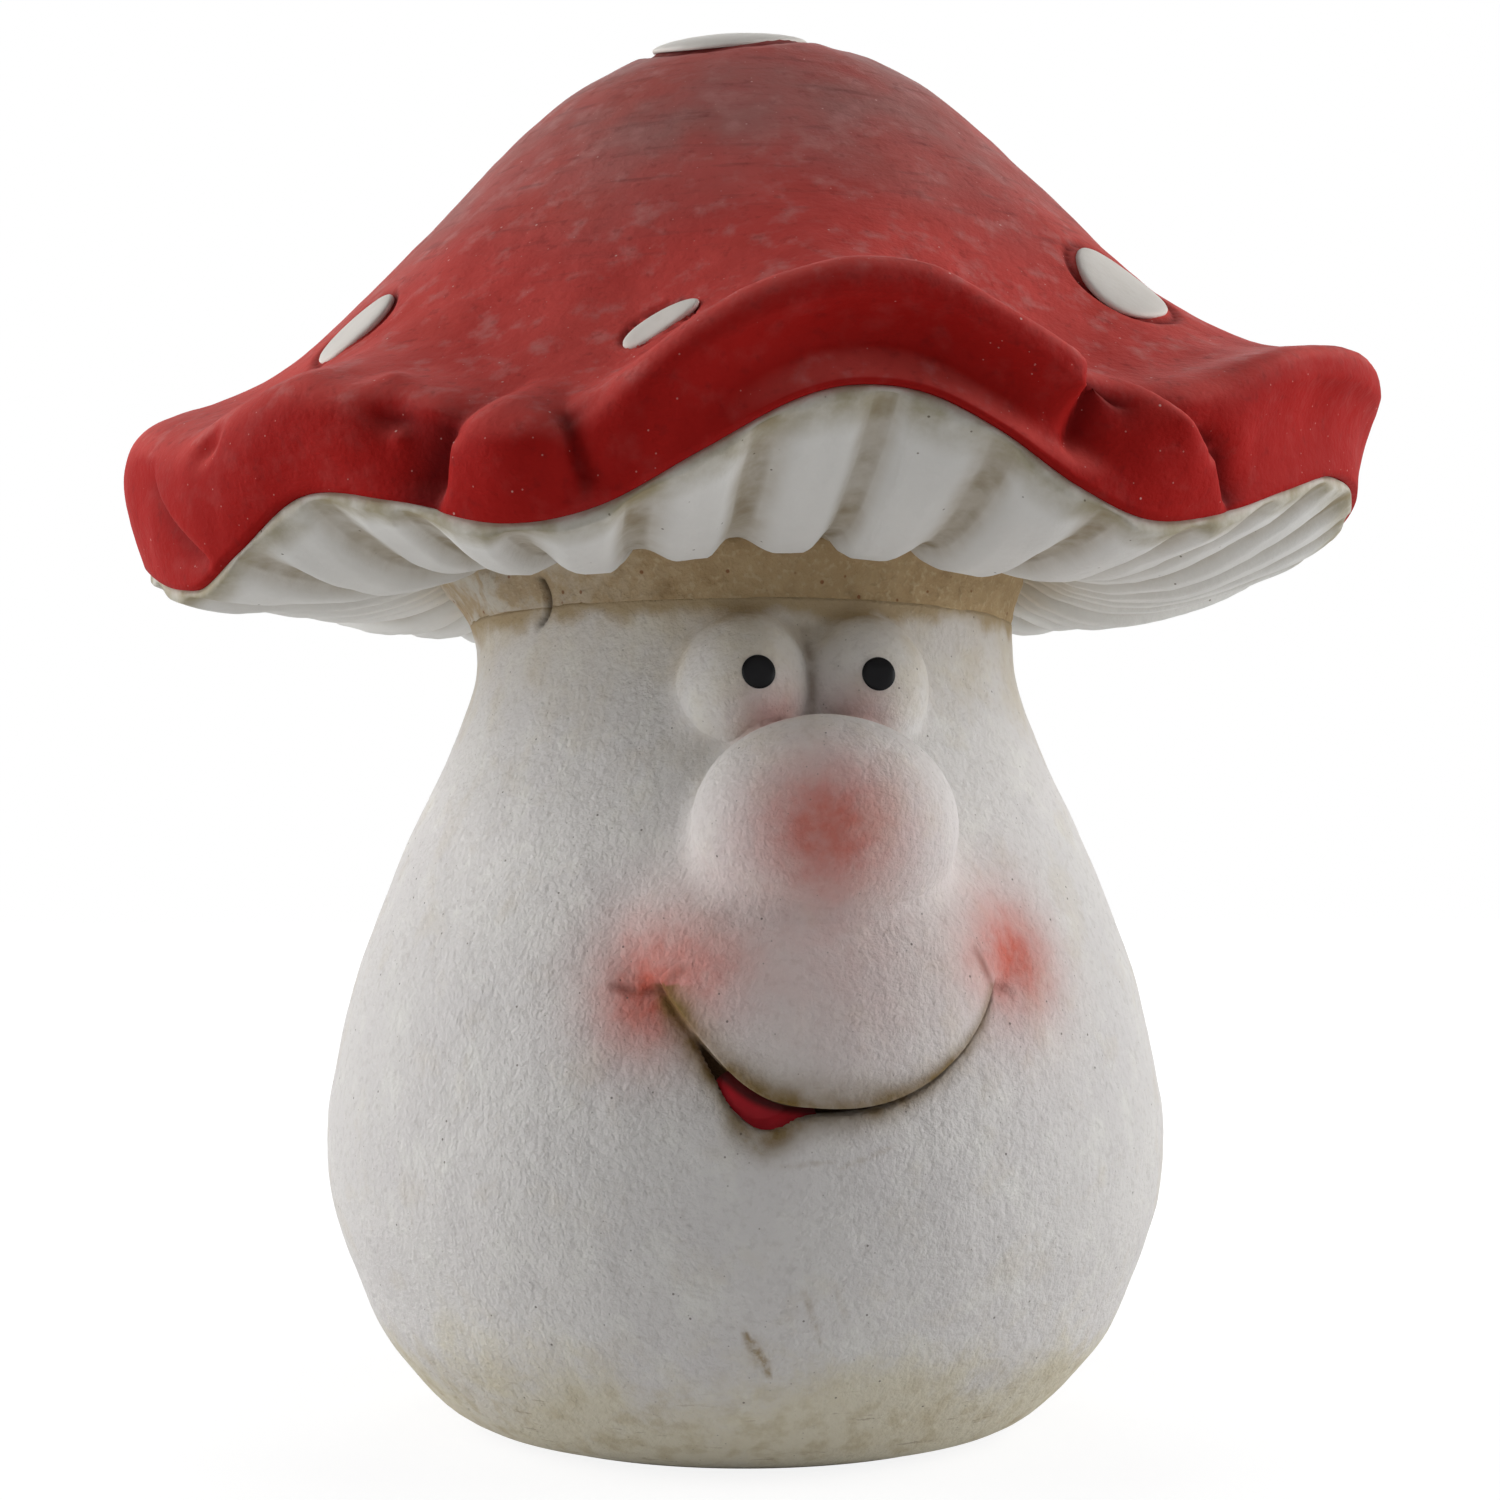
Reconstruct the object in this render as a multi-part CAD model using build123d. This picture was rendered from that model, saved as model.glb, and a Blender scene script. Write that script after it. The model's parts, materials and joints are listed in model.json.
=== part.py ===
"""Hollow ceramic toadstool ornament with a comic face, put together from luted clay castings.

Millimetres, +Z up, the face looks along -Y. The origin is the centre of the foot, on the surface
that the ornament stands on. Azimuths are in degrees round +Z, zero at the face and positive
towards +X.
"""
from build123d import *
import math
import os

# Stem casting
STEM_HEIGHT = 139.5
BELLY_HEIGHT = 50.5
FOOT_RADIUS = 44.0
BELLY_RADIUS = 73.6
NECK_RADIUS = 47.6
STEM_WALL = 6.0
POUR_HOLE_RADIUS = 32.0
SHOULDER_LEDGE = 6.6
SPIGOT_LENGTH = 20.0

# Luting: the film of slip between two pieces, and the bead at the neck
SLIP_FILM = 0.2
NECK_BEAD_HEIGHT = 8.2
NECK_BEAD_BULGE = 1.0
NECK_LUMP_WIDTH = 9.0
NECK_LUMP_PROUD = 3.0
NECK_LUMP_AZIMUTH = -66.0

# Red cap casting: heights are above the top of the neck bead
CROWN_RISE = 96.0
CROWN_RADIUS = 62.0
CROWN_FOOT_SHARE = 0.6
CROWN_LEAN_SHARE = 0.03
BRIM_RADIUS = 107.0
BRIM_EDGE_RISE = 2.8
BRIM_WAVE = 13.0
BRIM_ROLL = 25.0
BRIM_ROLL_WIDTH = 9.0
BRIM_ROLL_DROP = 6.0
BRIM_TUCK = 4.0
CAP_WALL = 6.0

# Pale gill plate that closes the cap from below
GILL_COUNT = 36
GILL_PLATE_THICKNESS = 4.5
GILL_DEPTH = 3.6
GILL_SAG = 3.0
GILL_SWEEP = 14.0
GILL_EDGE_SETBACK = 1.0
GILL_EDGE_THICKNESS = 1.2
GILL_EDGE_FILM = 0.5
GILL_STEP = 3.0
COLLAR_WALL = 5.0
COLLAR_HEIGHT = 16.0

# Face pieces, in recesses of this depth in the stem
SEAT_DEPTH = 1.5
NOSE_DROP = 37.5
NOSE_HALF_WIDTH = 21.0
NOSE_HALF_HEIGHT = 17.5
NOSE_HALF_DEPTH = 16.5
NOSE_STANDOFF = 2.5
EYE_RISE = 22.5
EYE_SPACING = 19.4
EYE_HALF_WIDTH = 11.0
EYE_HALF_HEIGHT = 12.5
EYE_HALF_DEPTH = 12.0
EYE_SINK = 3.5
PUPIL_RADIUS = 2.7
PUPIL_THICKNESS = 0.7
PUPIL_RISE = 1.8
LIP_DROP = 27.5
LIP_HALF_WIDTH = 28.5
LIP_HALF_HEIGHT = 28.0
LIP_HALF_DEPTH = 17.5
LIP_SINK = 10.3
LIP_LEAN = 14.0
SMILE_RISE = 25.0
SMILE_HALF_WIDTH = 31.0
SMILE_HALF_HEIGHT = 39.6
SMILE_CORNER_RISE = 2.5
MOUTH_SLOT = 1.2
MOUTH_SLOT_DEPTH = 3.5
DIMPLE_LENGTH = 8.0
DIMPLE_WIDTH = 2.4
DIMPLE_AZIMUTH = 23.0
TONGUE_DROP = 14.5
TONGUE_AZIMUTH = -9.3
TONGUE_HALF_WIDTH = 8.0
TONGUE_HALF_HEIGHT = 5.0
TONGUE_HALF_DEPTH = 3.5
TONGUE_SINK = 2.0
TONGUE_TILT = -24.0

# Spots luted on the cap
SPOT_RADIUS = 12.0
SPOT_PROUD = 1.0
SPOT_SEAT = 1.5

# Stem outline. Below the belly: share of the belly's height, share of the way from the foot's
# radius out to the belly's. Above it: share of the way up to the top, share of the way from the
# belly's radius in to the neck's.
STEM_LOWER_SHARES = [(0.0, 0.0), (0.03, 0.17), (0.09, 0.33), (0.2, 0.51), (0.345, 0.7),
                     (0.49, 0.81), (0.74, 0.955)]
STEM_UPPER_SHARES = [(0.0, 0.0), (0.12, 0.05), (0.3, 0.18), (0.45, 0.36), (0.6, 0.57),
                     (0.74, 0.79), (0.87, 0.95), (1.0, 1.0)]

# Crown outline: share of the crown's radius, share of its height above its own foot.
CROWN_SHARES = [(0.0, 1.0), (0.12, 0.99), (0.24, 0.965), (0.36, 0.915), (0.47, 0.835),
                (0.58, 0.71), (0.7, 0.53), (0.84, 0.285), (1.0, 0.0)]
BRIM_END_SLOPE_SHARE = 0.1

# Brim all the way round: azimuth, then edge height in shares of the wave, roll height in shares
# of the roll, and reach in shares of the brim's radius.
BRIM_SHARES = [
    (-171.0, 0.55, 0.98, 0.99), (-150.0, 0.2, 0.95, 1.01), (-132.0, 0.15, 1.0, 1.0),
    (-116.0, 0.2, 1.0, 1.01), (-101.0, 0.05, 1.0, 1.02), (-86.0, -0.3, 1.07, 1.025),
    (-69.0, -0.85, 1.12, 1.01), (-61.0, -0.5, 1.0, 1.005), (-52.0, 0.03, 0.8, 1.0),
    (-42.0, -0.15, 0.75, 0.99), (-31.5, -0.5, 0.78, 1.0), (-23.5, -0.35, 0.72, 0.99),
    (-15.0, 0.25, 0.78, 0.985), (-7.5, 0.8, 0.72, 0.985), (-2.5, 0.98, 0.7, 0.985),
    (3.5, 0.92, 0.7, 0.985), (9.5, 0.55, 0.7, 0.995), (16.5, 0.0, 0.75, 1.0),
    (24.0, -0.3, 0.85, 1.0), (32.0, -0.15, 0.9, 1.005), (41.5, 0.27, 0.92, 1.015),
    (51.5, 0.66, 0.85, 1.035), (63.5, 0.7, 0.85, 1.045), (78.5, 0.45, 0.92, 1.03),
    (94.0, 0.3, 0.95, 1.0), (113.0, 0.4, 1.0, 1.01), (133.0, 0.7, 0.95, 0.99),
    (153.0, 0.3, 1.0, 1.0),
]
RING_POINTS = 72
TRACE_POINTS = 48
OUTER_RINGS = 24
INNER_RINGS = 18

# Gill plate: share of the way from the neck to the edge, with the share of the groove's full
# sag there, then with the share of the gill's full depth.
SAG_SHARES = [(0.0, 0.0), (0.07, -1.0), (0.2, 0.0), (0.45, 1.0), (0.72, 0.7), (1.0, 0.0)]
DEPTH_SHARES = [(0.0, 0.0), (0.07, 0.6), (0.2, 0.85), (0.45, 1.0), (0.72, 0.8), (1.0, 0.15)]
GILL_RINGS = 9

# Spots: name, azimuth, distance from the axis in shares of the brim's radius, size in shares of
# the spot's radius.
SPOTS = [
    ("spot_crown", -21.0, 0.17, 1.1), ("spot_front_left", -20.0, 0.79, 0.46),
    ("spot_right", 41.0, 0.72, 0.8), ("spot_left", -66.0, 0.73, 0.65),
    ("spot_rear_right", 104.0, 0.5, 1.0), ("spot_rear", 158.0, 0.72, 0.9),
    ("spot_rear_left", -148.0, 0.55, 1.0), ("spot_far_left", -114.0, 0.8, 0.7),
    ("spot_far_right", 124.0, 0.8, 0.65),
]
SPOT_POINTS = 16

# Spot outline above the cap's surface: share of its radius, share of how proud it stands.
SPOT_SHARES = [(1.0, 0.0), (0.94, 0.6), (0.8, 0.88), (0.6, 0.96), (0.4, 0.99), (0.2, 1.0)]

# Solids that stand on their own origin
UPRIGHT = (Align.CENTER, Align.CENTER, Align.MIN)


def at(radius, azimuth, height):
    """A point of the model from its distance from the axis, azimuth and height."""
    turn = math.radians(azimuth)
    return Vector(radius * math.sin(turn), -radius * math.cos(turn), height)


def between(p0, p1, p2, p3, x):
    """A smooth curve between p1 and p2 that heads for the points on either side."""
    span = p2[0] - p1[0]
    t = (x - p1[0]) / span
    start = (p2[1] - p0[1]) / (p2[0] - p0[0]) * span
    end = (p3[1] - p1[1]) / (p3[0] - p1[0]) * span
    return (p1[1] * (1 + 2 * t) * (1 - t) ** 2 + p2[1] * t * t * (3 - 2 * t)
            + start * t * (1 - t) ** 2 - end * t * t * (1 - t))


def along(points, x):
    """Height at x of a smooth curve through points in order of x."""
    last = len(points) - 1
    i = min(max(k for k in range(last + 1) if points[k][0] <= max(x, points[0][0])), last - 1)
    before = points[i - 1] if i else (2 * points[0][0] - points[1][0], points[1][1])
    after = points[i + 2] if i + 2 <= last else (
        2 * points[last][0] - points[last - 1][0], 2 * points[last][1] - points[last - 1][1])
    return between(before, points[i], points[i + 1], after, x)


def round_brim(azimuth, column):
    """One column of the brim table at any azimuth, as a smooth closed curve."""
    count = len(BRIM_SHARES)
    azimuth = (azimuth - BRIM_SHARES[0][0]) % 360 + BRIM_SHARES[0][0]
    i = max(k for k in range(count) if BRIM_SHARES[k][0] <= azimuth)
    knots = [(BRIM_SHARES[k % count][0] + 360 * (k // count), BRIM_SHARES[k % count][column])
             for k in range(i - 1, i + 3)]
    return between(*knots, azimuth)


def stem_knots():
    """Height and radius of the stem at the rows of its outline."""
    lower = [(BELLY_HEIGHT * up, FOOT_RADIUS + (BELLY_RADIUS - FOOT_RADIUS) * out)
             for up, out in STEM_LOWER_SHARES]
    rise = STEM_HEIGHT - BELLY_HEIGHT
    upper = [(BELLY_HEIGHT + rise * up, BELLY_RADIUS + (NECK_RADIUS - BELLY_RADIUS) * inward)
             for up, inward in STEM_UPPER_SHARES]
    return lower + upper


def stem_radius(height):
    """Outer radius of the stem at a height."""
    return along(stem_knots(), height)


def turned(points_up, closing_points):
    """A solid of revolution: a smooth side, then straight runs back to its start."""
    side = Edge.make_spline([Vector(r, 0, z) for r, z in points_up])
    corners = [points_up[-1]] + closing_points + [points_up[0]]
    runs = [Edge.make_line(Vector(a[0], 0, a[1]), Vector(b[0], 0, b[1]))
            for a, b in zip(corners, corners[1:])]
    return revolve(Face(Wire([side] + runs)), Axis.Z)


def stem_body(offset):
    """The stem up to its shoulder as a full body, grown by an offset."""
    side = [(r + offset, z) for z, r in stem_knots()]
    return turned(side, [(0, STEM_HEIGHT), (0, 0)])


def stem_cavity():
    """The hollow inside the stem casting, with the pour hole and the bore of the spigot."""
    squeeze = (STEM_HEIGHT - 2 * STEM_WALL) / STEM_HEIGHT
    side = [(r - STEM_WALL, STEM_WALL + z * squeeze) for z, r in stem_knots()]
    hollow = turned(side, [(0, STEM_HEIGHT - STEM_WALL), (0, STEM_WALL)])
    bore = spigot_radius() - STEM_WALL
    through = STEM_HEIGHT + 2 * SPIGOT_LENGTH
    spigot_bore = Pos(0, 0, STEM_HEIGHT / 2) * Cylinder(bore, through, align=UPRIGHT)
    pour_hole = Cylinder(POUR_HOLE_RADIUS, STEM_HEIGHT / 2, align=UPRIGHT)
    return hollow + spigot_bore + pour_hole


def spigot_radius():
    """Outer radius of the spigot that carries the gill plate."""
    return NECK_RADIUS - SHOULDER_LEDGE


def seat_height():
    """Height of the flat land of the gill plate, on top of the neck bead."""
    return STEM_HEIGHT + NECK_BEAD_HEIGHT


def egg(*half_sizes):
    """An egg shape round the origin, with its poles in front and behind."""
    side = Edge.make_three_point_arc(Vector(0, -1, 0), Vector(1, 0, 0), Vector(0, 1, 0))
    core = Edge.make_line(Vector(0, 1, 0), Vector(0, -1, 0))
    return scale(revolve(Face(Wire([side, core])), Axis.Y), by=half_sizes)


def ellipsoid(half_sizes, centre, grow=0.0):
    """An egg shape round a centre, with its half sizes grown by a margin."""
    return Pos(*centre) * egg(*[half + grow for half in half_sizes])


def nose_height():
    """Height of the nose's centre."""
    return STEM_HEIGHT - NOSE_DROP


def nose_body(grow=0.0):
    """The nose as a full egg, grown by a margin."""
    centre = (0, -stem_radius(nose_height()) - NOSE_STANDOFF, nose_height())
    return ellipsoid((NOSE_HALF_WIDTH, NOSE_HALF_DEPTH, NOSE_HALF_HEIGHT), centre, grow)


def eye_centre(side):
    """Centre of one eyeball; side is -1 for the left one and 1 for the right one."""
    height = nose_height() + EYE_RISE
    return (side * EYE_SPACING / 2, EYE_SINK - stem_radius(height), height)


def eye_body(side, grow=0.0):
    """One eyeball as a full egg, grown by a margin."""
    return ellipsoid((EYE_HALF_WIDTH, EYE_HALF_DEPTH, EYE_HALF_HEIGHT), eye_centre(side), grow)


def lip_height():
    """Height of the centre of the bulge above the mouth."""
    return nose_height() - LIP_DROP


def smile_outline(grow=0.0):
    """An upright oval bar through the face whose lower edge is the line of the smile."""
    oval = Ellipse(SMILE_HALF_WIDTH + grow, SMILE_HALF_HEIGHT + grow)
    face = Pos(0, 0, lip_height() + SMILE_RISE) * Rot(90, 0, 0) * oval
    return extrude(face, 2 * BELLY_RADIUS)


def lip_body(grow=0.0):
    """The bulge above the mouth, ended below by the line of the smile."""
    blank = egg(LIP_HALF_WIDTH + grow, LIP_HALF_DEPTH + grow, LIP_HALF_HEIGHT + grow)
    place = Pos(0, LIP_SINK - stem_radius(lip_height()), lip_height())
    return place * Rot(-LIP_LEAN, 0, 0) * blank & smile_outline(grow)


def tongue_body(grow=0.0):
    """The tip of the tongue as a full egg, grown by a margin."""
    height = lip_height() - TONGUE_DROP
    centre = at(stem_radius(height) - TONGUE_SINK, TONGUE_AZIMUTH, height)
    blank = egg(TONGUE_HALF_WIDTH + grow, TONGUE_HALF_DEPTH + grow, TONGUE_HALF_HEIGHT + grow)
    return Pos(centre) * Rot(0, -TONGUE_TILT, 0) * blank


def face_bodies(grow=0.0):
    """Every full body that is luted on the stem."""
    return [nose_body(grow), eye_body(-1, grow), eye_body(1, grow), lip_body(grow),
            tongue_body(grow)]


def mouth_slot():
    """The open line of the mouth, cut into the stem along the lower edge of the upper lip."""
    band = smile_outline(MOUTH_SLOT) - smile_outline(SLIP_FILM)
    below = Pos(0, 0, lip_height() + SMILE_CORNER_RISE) * Box(
        2 * BELLY_RADIUS, 4 * BELLY_RADIUS, STEM_HEIGHT,
        align=(Align.CENTER, Align.CENTER, Align.MAX))
    return band & below


def dimples():
    """The two creases that run out from the corners of the mouth."""
    height = lip_height() + SMILE_CORNER_RISE
    crease = egg(DIMPLE_LENGTH / 2, DIMPLE_WIDTH, DIMPLE_WIDTH / 2)
    return [Pos(at(stem_radius(height), side * DIMPLE_AZIMUTH, height))
            * Rot(0, 0, side * DIMPLE_AZIMUTH) * crease for side in (-1, 1)]


def stem_shell():
    """The hollow stem with its foot, shoulder and spigot, recessed where the face is luted on."""
    spigot = Pos(0, 0, STEM_HEIGHT - STEM_WALL) * Cylinder(
        spigot_radius(), STEM_WALL + SPIGOT_LENGTH, align=UPRIGHT)
    shell = stem_body(0.0) + spigot - stem_cavity()
    seat = stem_body(-SEAT_DEPTH)
    for body in face_bodies(SLIP_FILM):
        shell -= body - seat
    shell -= mouth_slot() - stem_body(-MOUTH_SLOT_DEPTH)
    for crease in dimples():
        shell -= crease
    return shell


def luted(body, *neighbours):
    """A face piece trimmed to lie on the stem and against the pieces fixed before it."""
    piece = body - stem_body(SLIP_FILM - SEAT_DEPTH)
    for neighbour in neighbours:
        piece -= neighbour
    return piece


def front_only(piece):
    """The largest solid of a trimmed piece."""
    return max(piece.solids(), key=lambda solid: solid.volume)


def nose():
    """The nose, which the eyes and the upper lip are trimmed to."""
    return front_only(luted(nose_body()))


def eye(side):
    """One eyeball, cut flat where the two meet."""
    wide = 4 * EYE_HALF_WIDTH
    centre = eye_centre(side)
    other_side = Pos(side * SLIP_FILM / 2, centre[1], centre[2]) * Box(
        wide, wide, wide, align=(Align.MAX if side > 0 else Align.MIN, Align.CENTER, Align.CENTER))
    return front_only(luted(eye_body(side), nose_body(SLIP_FILM), other_side))


def pupil(side):
    """A thin black dot that follows the front of the eyeball."""
    centre = eye_centre(side)
    rod = Pos(centre[0], centre[1], centre[2] + PUPIL_RISE) * Rot(90, 0, 0) * Cylinder(
        PUPIL_RADIUS, 2 * EYE_HALF_DEPTH, align=UPRIGHT)
    return front_only((eye_body(side, PUPIL_THICKNESS) & rod) - eye_body(side, SLIP_FILM))


def upper_lip():
    """The bulge between the nose and the line of the smile."""
    return front_only(luted(lip_body(), nose_body(SLIP_FILM)))


def tongue():
    """The tip of the tongue, under the upper lip."""
    return front_only(luted(tongue_body(), lip_body(SLIP_FILM)))


def neck_bead():
    """The rough band of slip that joins the stem to the cap, with one lump in it."""
    low, high = STEM_HEIGHT + SLIP_FILM, seat_height() - SLIP_FILM
    middle = (low + high) / 2
    bore = spigot_radius() + SLIP_FILM
    side = [(NECK_RADIUS, low), (NECK_RADIUS + NECK_BEAD_BULGE, middle), (NECK_RADIUS, high)]
    ring_band = turned(side, [(bore, high), (bore, low)])
    lump = egg(NECK_LUMP_WIDTH / 2, NECK_BEAD_BULGE + NECK_LUMP_PROUD, (high - low) / 2)
    place = Pos(at(NECK_RADIUS, NECK_LUMP_AZIMUTH, middle)) * Rot(0, 0, NECK_LUMP_AZIMUTH)
    return ring_band + place * lump


def brim_edge(azimuth):
    """Radius and height of the cap's lower edge."""
    reach = BRIM_RADIUS * round_brim(azimuth, 3)
    rise = BRIM_EDGE_RISE + BRIM_WAVE * round_brim(azimuth, 1)
    return reach - BRIM_TUCK, seat_height() + rise


def brim_top(azimuth):
    """Radius and height where the brim's top starts to roll over."""
    edge_radius, edge_height = brim_edge(azimuth)
    roll = BRIM_ROLL * round_brim(azimuth, 2)
    return edge_radius + BRIM_TUCK - BRIM_ROLL_WIDTH, edge_height + roll


def crown_knots(azimuth):
    """Radius and height of the crown, which leans a little, at the rows of its outline."""
    foot = seat_height() + CROWN_RISE * CROWN_FOOT_SHARE
    rise = CROWN_RISE * (1 - CROWN_FOOT_SHARE)
    reach = CROWN_RADIUS * (1 + CROWN_LEAN_SHARE * math.sin(math.radians(azimuth)))
    return [(reach * out, foot + rise * up) for out, up in CROWN_SHARES]


def brim_height(azimuth, radius):
    """Height of the brim's top between the crown and the roll."""
    (r0, z0), (r1, z1) = crown_knots(azimuth)[-2:]
    r2, z2 = brim_top(azimuth)
    start = (z1 - z0) / (r1 - r0)
    end = (z2 - z1) / (r2 - r1) * BRIM_END_SLOPE_SHARE
    span = r2 - r1
    t = (radius - r1) / span
    return (z1 * (1 + 2 * t) * (1 - t) ** 2 + z2 * t * t * (3 - 2 * t)
            + start * span * t * (1 - t) ** 2 - end * span * t * t * (1 - t))


def top_height(azimuth, radius):
    """Height of the cap's top at a place inside the roll."""
    knots = crown_knots(azimuth)
    if radius <= knots[-1][0]:
        return along(knots, radius)
    return brim_height(azimuth, radius)


def spaced(points, count):
    """Points evenly spaced along a run of short straight lines, without its first point."""
    lengths = [math.dist(a, b) for a, b in zip(points, points[1:])]
    step = sum(lengths) / count
    picked, i, done = [], 0, 0.0
    for k in range(1, count):
        while done + lengths[i] < k * step:
            done += lengths[i]
            i += 1
        t = (k * step - done) / lengths[i]
        picked.append(tuple(u + (v - u) * t for u, v in zip(points[i], points[i + 1])))
    return picked + [points[-1]]


def top_trace(azimuth):
    """Radius and height along the cap's top, from the apex to where the roll starts."""
    reach = brim_top(azimuth)[0]
    radii = [reach * i / TRACE_POINTS for i in range(TRACE_POINTS + 1)]
    return [(radius, top_height(azimuth, radius)) for radius in radii]


def outer_outline(azimuth):
    """Radius and height down the outside of the cap, from beside the apex to the roll's end."""
    top_radius, height = brim_top(azimuth)
    turns = [math.radians(angle) for angle in range(10, 91, 10)]
    roll = [(top_radius + BRIM_ROLL_WIDTH * math.sin(turn),
             height - BRIM_ROLL_DROP * (1 - math.cos(turn))) for turn in turns]
    return spaced(top_trace(azimuth) + roll, OUTER_RINGS)


def inner_outline(azimuth):
    """Radius and height under the cap's top, one wall in from the outside."""
    upper = top_trace(azimuth)
    points = [(0.0, upper[0][1] - CAP_WALL)]
    for (r0, z0), (r1, z1), (r2, z2) in zip(upper, upper[1:], upper[2:]):
        length = math.hypot(r2 - r0, z2 - z0)
        points.append((r1 - CAP_WALL * (z0 - z2) / length, z1 - CAP_WALL * (r2 - r0) / length))
    return spaced(points, INNER_RINGS)


def edge_outline(azimuth):
    """Radius and height of the outer and the inner side of the cap's lower edge."""
    edge_radius, edge_height = brim_edge(azimuth)
    return [(edge_radius, edge_height), (edge_radius - CAP_WALL, edge_height)]


def inner_wall(azimuth, lift):
    """Radius of the cap's straight inner wall at a height above its lower edge."""
    (r0, z0), (r1, z1) = edge_outline(azimuth)[1], inner_outline(azimuth)[-1]
    return r0 + (r1 - r0) * lift / (z1 - z0)


def ring(points):
    """A smooth closed wire through points spaced evenly round the axis."""
    count = len(points)
    spacing = [i / count for i in range(count + 1)]
    return Wire([Edge.make_spline(points, periodic=True, parameters=spacing)])


def rings(outline):
    """One closed wire for each row of an outline that changes with the azimuth."""
    azimuths = [360 * i / RING_POINTS for i in range(RING_POINTS)]
    rows = [outline(azimuth) for azimuth in azimuths]
    return [ring([at(row[k][0], azimuth, row[k][1]) for azimuth, row in zip(azimuths, rows)])
            for k in range(len(rows[0]))]


def closed_solid(*shells):
    """The solid inside shells that share their edges."""
    return Solid(Shell([face for shell in shells for face in shell.faces()]))


def cap_shell():
    """The red casting, open below: crown, waved brim, and a rolled edge with straight walls."""
    outer, inner = rings(outer_outline), rings(inner_outline)
    outer_edge, inner_edge = rings(edge_outline)
    apex_height = seat_height() + CROWN_RISE
    straight_pairs = [(outer[-1], outer_edge), (outer_edge, inner_edge), (inner_edge, inner[-1])]
    return closed_solid(Shell.make_loft([Vertex(0, 0, apex_height)] + outer),
                        Shell.make_loft([Vertex(0, 0, apex_height - CAP_WALL)] + inner),
                        *[Shell.make_loft(list(pair), ruled=True) for pair in straight_pairs])


def spot(cap, azimuth, distance_share, size_share):
    """A flat pebble of clay that follows the cap's top and lies on a film of slip."""
    distance, radius = BRIM_RADIUS * distance_share, SPOT_RADIUS * size_share
    step = radius / 4
    slope = math.atan2(top_height(azimuth, distance + step) - top_height(azimuth, distance - step),
                       2 * step)

    def place(turn, share, lift):
        out = distance + radius * share * math.cos(turn) * math.cos(slope)
        aside = radius * share * math.sin(turn)
        reach = math.hypot(out, aside)
        spot_azimuth = azimuth + math.degrees(math.atan2(aside, out))
        height = top_height(spot_azimuth, reach)
        return at(reach - lift * math.sin(slope), spot_azimuth, height + lift * math.cos(slope))

    turns = [2 * math.pi * i / SPOT_POINTS for i in range(SPOT_POINTS)]
    levels = [(1.0, -SPOT_SEAT)] + [(share, SPOT_PROUD * lift) for share, lift in SPOT_SHARES]
    loops = [ring([place(turn, share, lift) for turn in turns]) for share, lift in levels]
    bottom, top = Vertex(*place(0, 0, -SPOT_SEAT)), Vertex(*place(0, 0, SPOT_PROUD))
    pebble = closed_solid(Shell.make_loft([bottom, loops[0]]),
                          Shell.make_loft(loops[:2], ruled=True),
                          Shell.make_loft(loops[1:] + [top]))
    return front_only(pebble - Pos(0, 0, SLIP_FILM) * cap)


def swept(azimuth, share):
    """Azimuth of a gill groove that leaves the edge at an azimuth, part of the way to the edge."""
    return azimuth + GILL_SWEEP * (1 - share) * math.sin(math.radians(2 * azimuth))


def gill_ring(place, share=1.0):
    """A closed wire of one arc for each gill: place gives a point from an azimuth, and whether
    it lies in a groove or on the back of a gill."""
    pitch = 360 / GILL_COUNT
    arcs = []
    for i in range(GILL_COUNT):
        start, middle, end = (swept(pitch * k, share) for k in (i, i + 0.5, i + 1))
        arcs.append(Edge.make_three_point_arc(place(start, 0.0), place(middle, 1.0),
                                              place(end, 0.0)))
    return Wire(arcs)


def level_ring(radius, height):
    """A closed wire at one height, with an arc for each gill."""
    return gill_ring(lambda azimuth, back: at(radius, azimuth, height), 0.0)


def groove_point(azimuth, share):
    """Radius and height in a groove, part of the way from the neck to the edge."""
    edge_radius, edge_height = brim_edge(azimuth)
    radius = NECK_RADIUS + (edge_radius - GILL_EDGE_SETBACK - NECK_RADIUS) * share
    edge_height -= GILL_EDGE_FILM + GILL_EDGE_THICKNESS
    lift = (edge_height - seat_height()) * share ** 2
    return radius, seat_height() + lift - GILL_SAG * along(SAG_SHARES, share)


def under_ring(share):
    """A closed wire over the grooves and backs of the gills, part of the way to the edge."""
    def place(azimuth, back):
        radius, height = groove_point(azimuth, share)
        return at(radius, azimuth, height - GILL_DEPTH * along(DEPTH_SHARES, share) * back)
    return gill_ring(place, share)


def over_ring(share):
    """A closed wire on the plain top of the gill plate, part of the way to the edge."""
    def place(azimuth, back):
        radius, height = groove_point(azimuth, share)
        return at(radius, azimuth, height + GILL_PLATE_THICKNESS)
    return gill_ring(place, share)


def flange_ring():
    """A closed wire under the cap's lower edge, set back from its outside."""
    def place(azimuth, back):
        edge_radius, edge_height = brim_edge(azimuth)
        return at(edge_radius - GILL_EDGE_SETBACK, azimuth, edge_height - GILL_EDGE_FILM)
    return gill_ring(place)


def step_ring(lift):
    """A closed wire of the step's wall, which follows the cap's inner wall a film away."""
    def place(azimuth, back):
        radius = inner_wall(azimuth, max(lift, 0)) - GILL_EDGE_FILM
        return at(radius, azimuth, brim_edge(azimuth)[1] + lift)
    return gill_ring(place)


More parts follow.
